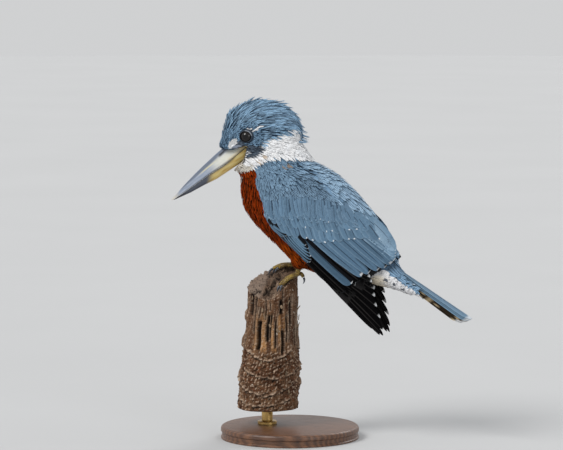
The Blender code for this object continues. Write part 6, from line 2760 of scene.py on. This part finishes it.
    def _add_flakes(self, piece: bpy.types.Object) -> None:
        """Add loose curled flakes of bark and splinters to the stem."""
        rng = np.random.default_rng(self.seed + 1)
        for n in range(self.splinters):
            height = rng.uniform(36.0, 140.0)
            anywhere = n > self.front_splinters
            turn = math.radians(rng.uniform(0, 360) if anywhere else rng.uniform(-95, 95) + self.facing)
            radius = along(((28.0, 29.6), (95.0, 26.6), (170.0, 24.6)), height) + 0.2
            centre = np.array([along(self.axis, height), 0.0, height])
            out = np.array([math.cos(turn), math.sin(turn), 0.0])
            side = np.array([-out[1], out[0], 0.0])
            long, wide = rng.uniform(3.0, 9.0), rng.uniform(0.7, 2.6)
            lean = rng.normal(0, 0.5)
            curl = rng.uniform(0.6, 2.2)
            ahead = unit(np.array([0, 0, 1.0]) + side * lean)
            cross = unit(np.cross(out, ahead))
            spots = []
            for a in np.linspace(0, 1, 6):
                shape = wide * (1 - (2 * a - 1) ** 4) ** 0.5 * 0.5 + 0.12
                spine = centre + out * (radius - 0.5 + curl * a ** 2) + ahead * (long * (a - 0.3))
                for w in (-1.0, 0.0, 1.0):
                    spots.append(spine + cross * (shape * w) + out * (0.35 * (1 - abs(w))))
            spots = np.array(spots)
            under = spots - out * 0.45
            faces = []
            for r in range(5):
                for c in range(2):
                    a = r * 3 + c
                    faces.append([a, a + 3, a + 4, a + 1])
                    faces.append([a + 18, a + 19, a + 22, a + 21])
                faces.append([r * 3, r * 3 + 18, r * 3 + 21, r * 3 + 3])
                faces.append([r * 3 + 2, r * 3 + 5, r * 3 + 23, r * 3 + 20])
            faces.append([0, 1, 2, 20, 19, 18])
            faces.append([15, 33, 34, 35, 17, 16])
            shade = rng.uniform(0.6, 1.25)
            tones = np.tile(tone(142, 122, 100) * shade, (36, 1))
            join_shell(piece, np.concatenate([spots, under]), faces, tones, centre)


@dataclass(frozen=True)
class TurnedFinish:
    """Oiled dark wood with rings and pores."""

    name: str = "oiled_walnut"
    light: Triple = (112, 75, 50)
    dark: Triple = (76, 48, 32)

    def make(self) -> bpy.types.Material:
        """Build the material."""
        material, kit, shader = start_material(self.name, Roughness=0.42, Coat_Weight=0.18,
                                               Coat_Roughness=0.3)
        rings = kit.add("ShaderNodeTexWave", wave_type="BANDS", bands_direction="Y")
        rings.inputs["Scale"].default_value = 1.1
        rings.inputs["Distortion"].default_value = 5.0
        rings.inputs["Detail"].default_value = 4.0
        rings.inputs["Detail Scale"].default_value = 1.4
        kit.join(kit.stretched((5.0, 60.0, 60.0)), rings.inputs["Vector"])
        pore = kit.noise(kit.stretched((60.0, 900.0, 900.0)), 1.6, 4.0)
        base = kit.blend(rings.outputs["Fac"], tone(*self.dark), tone(*self.light))
        dots = kit.span(pore, 0.36, 0.48)
        kit.join(kit.blend(1.0, base, kit.span(dots, 0.0, 1.0, 0.45, 1.0), "MULTIPLY"),
                 shader.inputs["Base Color"])
        add_bump(kit, shader, dots, 0.00012)
        return material


@dataclass(frozen=True)
class BrassFinish:
    """Brushed aged brass."""

    name: str = "aged_brass"

    def make(self) -> bpy.types.Material:
        """Build the material."""
        material, kit, shader = start_material(self.name, Roughness=0.32, Metallic=1.0)
        where = kit.add("ShaderNodeTexCoord")
        brushed = kit.noise(kit.stretched((40.0, 40.0, 1600.0)), 1.0, 2.0)
        age = kit.noise(where.outputs["Object"], 110.0, 4.0)
        bright = kit.blend(brushed, tone(186, 150, 88), tone(220, 188, 122))
        kit.join(kit.blend(kit.span(age, 0.56, 0.72), bright, tone(112, 84, 46)),
                 shader.inputs["Base Color"])
        add_bump(kit, shader, brushed, 0.00003)
        return material


@dataclass
class Stand:
    """The turned base and the short rod that carries the stem."""

    sides: int = 128
    rod_share: float = 0.58
    base_profile: tuple = ((0.0, 0.0), (1.0, 0.0), (1.0, 0.10), (0.985, 0.18), (0.985, 0.50), (1.0, 0.58),
                           (1.0, 0.80), (0.992, 0.90), (0.975, 0.97), (0.945, 1.0), (0.93, 0.985),
                           (0.915, 1.0), (0.0, 1.0))

    def _turned(self, name: str, centre: Pair, profile: Array) -> bpy.types.Mesh:
        """A mesh turned round an upright axis.

        Args:
            name: Name of the mesh.
            centre: x and y of the axis.
            profile: (n, 2) radius and height, from the bottom middle to the top middle.

        Returns:
            The mesh.
        """
        turn = np.linspace(0, math.tau, self.sides, endpoint=False)
        inner = profile[1:-1]
        ring = np.stack([np.cos(turn), np.sin(turn), np.zeros_like(turn)], -1)
        rows = [ring * r + np.array([centre[0], centre[1], h]) for r, h in inner]
        spots = np.concatenate(rows + [[[centre[0], centre[1], profile[0, 1]]],
                                       [[centre[0], centre[1], profile[-1, 1]]]])
        low, high = len(spots) - 2, len(spots) - 1
        faces = ring_faces(len(inner), self.sides, flip=True) + cap_faces(low, 0, self.sides, flip=True)
        faces += cap_faces(high, (len(inner) - 1) * self.sides, self.sides)
        mesh = mesh_from(name, spots, faces)
        mesh.set_sharp_from_angle(angle=math.radians(35.0))
        return mesh

    @staticmethod
    def _room(box: tuple) -> tuple[Pair, float, float, float]:
        """Axis, radius, foot and height, in millimetres, of what a box holds."""
        low, high = (np.array(corner) / MM for corner in box)
        centre = ((high[0] + low[0]) / 2, (high[1] + low[1]) / 2)
        return centre, (high[0] - low[0]) / 2, low[2], high[2] - low[2]

    def build(self) -> list[bpy.types.Object]:
        """Build and dress the base and the rod.

        Returns:
            The pieces.
        """
        centre, radius, foot, height = self._room(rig.box("stand_base"))
        profile = np.array(self.base_profile) * [radius, height] + [0.0, foot]
        base = place("stand_turned_base", self._turned("stand_turned_base", centre, profile),
                     TurnedFinish().make())
        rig.slot(base, "stand_wood")
        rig.replaces(base, "stand_base")
        centre, collar, foot, span = self._room(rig.box("stand_rod"))
        thin = collar * self.rod_share
        profile = np.array([(0.0, 0.0), (collar, 0.0), (collar, 2.2), (collar - 0.5, 2.8), (thin + 0.5, 3.0),
                            (thin, 3.6), (thin, span - 3.6), (thin + 0.5, span - 3.0),
                            (collar - 0.5, span - 2.8), (collar, span - 2.2), (collar, span), (0.0, span)])
        rod = place("stand_brass_rod", self._turned("stand_brass_rod", centre, profile + [0.0, foot]),
                    BrassFinish().make())
        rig.slot(rod, "stand_brass")
        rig.replaces(rod, "stand_rod")
        return [base, rod]


# ------------------------------------------------------------------ studio

@dataclass
class Studio:
    """The pale floor, the soft lights and the camera."""

    azimuth: float = 18.0
    elevation: float = 5.5
    target: Triple = (-8.76, 0.0, 209.44)
    distance: float = 3065.2
    lens: float = 200.0
    floor_radius: float = 9.0
    backdrop: Triple = (222, 223, 224)

    def floor(self) -> None:
        """Lay the floor, which is not part of the object."""
        bm = bmesh.new()
        bmesh.ops.create_circle(bm, cap_ends=True, segments=96, radius=self.floor_radius)
        mesh = bpy.data.meshes.new("studio_floor")
        bm.to_mesh(mesh)
        bm.free()
        sheet = bpy.data.objects.new("studio_floor", mesh)
        sheet.location.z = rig.box("stand_base")[0][2] - 0.0002
        bpy.context.scene.collection.objects.link(sheet)
        material, kit, shader = start_material("pale_floor", Roughness=0.85)
        where = kit.add("ShaderNodeTexCoord")
        cloud = kit.noise(where.outputs["Object"], 3.0, 4.0)
        kit.join(kit.blend(cloud, tone(177, 178, 179), tone(183, 184, 185)),
                 shader.inputs["Base Color"])
        mesh.materials.append(material)
        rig.stage(sheet)

    def camera(self) -> None:
        """Set up the camera."""
        a, e = math.radians(self.azimuth), math.radians(self.elevation)
        back = Vector((math.sin(a) * math.cos(e), -math.cos(a) * math.cos(e), math.sin(e)))
        data = bpy.data.cameras.new("camera")
        data.lens = self.lens
        data.sensor_width = 36.0
        data.clip_start, data.clip_end = 0.1, 60.0
        camera = bpy.data.objects.new("camera", data)
        camera.location = Vector(self.target) * MM + back * (self.distance * MM)
        camera.rotation_euler = (-back).to_track_quat("-Z", "Y").to_euler()
        bpy.context.scene.collection.objects.link(camera)
        bpy.context.scene.camera = camera

    @staticmethod
    def _lamp(name: str, way: Triple, power: float, colour: Triple) -> None:
        """A wide soft light that comes from one way."""
        data = bpy.data.lights.new(name, "SUN")
        data.angle = math.radians(26.0)
        data.energy = power
        data.color = colour
        lamp = bpy.data.objects.new(name, data)
        lamp.rotation_euler = (-Vector(way)).to_track_quat("-Z", "Y").to_euler()
        bpy.context.scene.collection.objects.link(lamp)

    def lights(self) -> None:
        """Set up the soft lights and the pale surround."""
        self._lamp("key", (-0.55, -0.75, 0.95), 2.2, (1.0, 0.985, 0.965))
        self._lamp("fill", (0.85, -0.6, 0.35), 0.45, (0.94, 0.97, 1.0))
        self._lamp("rim", (0.3, 0.9, 0.8), 0.8, (1.0, 1.0, 1.0))
        world = bpy.data.worlds.new("surround")
        world.use_nodes = True
        backing = world.node_tree.nodes["Background"]
        backing.inputs["Color"].default_value = (*tone(*self.backdrop), 1.0)
        backing.inputs["Strength"].default_value = 0.86
        bpy.context.scene.world = world

    def build(self) -> None:
        """Set up the whole studio."""
        self.camera()
        self.floor()
        self.lights()
        bpy.context.scene.view_settings.view_transform = "Standard"


# ------------------------------------------------------------------ all of it

def main() -> None:
    """Build every sub-assembly in order, and write the two sizes."""
    logging.basicConfig(level=logging.INFO, format="%(name)s %(message)s")
    frame_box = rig.bounds()
    Studio().build()
    form = CoatForm()
    log.info("coat form: %d places", len(form.places))
    eyes = Eyes()
    skin = Skin(form).build()
    for side in Side:
        middle = TURN.turn(eyes.axes(side)[0][None])[0]
        join_shell(skin, *eyes.lids(side), middle)
    eyes.build()
    Bill().build()
    SmallFeathers(form).build()
    Plumes(form).build()
    Wings(WingSheet()).build()
    Tail().build()
    Feet().build()
    DeadStem().build()
    Stand().build()
    sizes = {"frame": [list(corner) for corner in frame_box],
             "visual": [list(corner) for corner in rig.bounds()]}
    with open(SIZE_FILE, "w", encoding="utf-8") as out:
        json.dump(sizes, out)


if __name__ == "__main__":
    main()
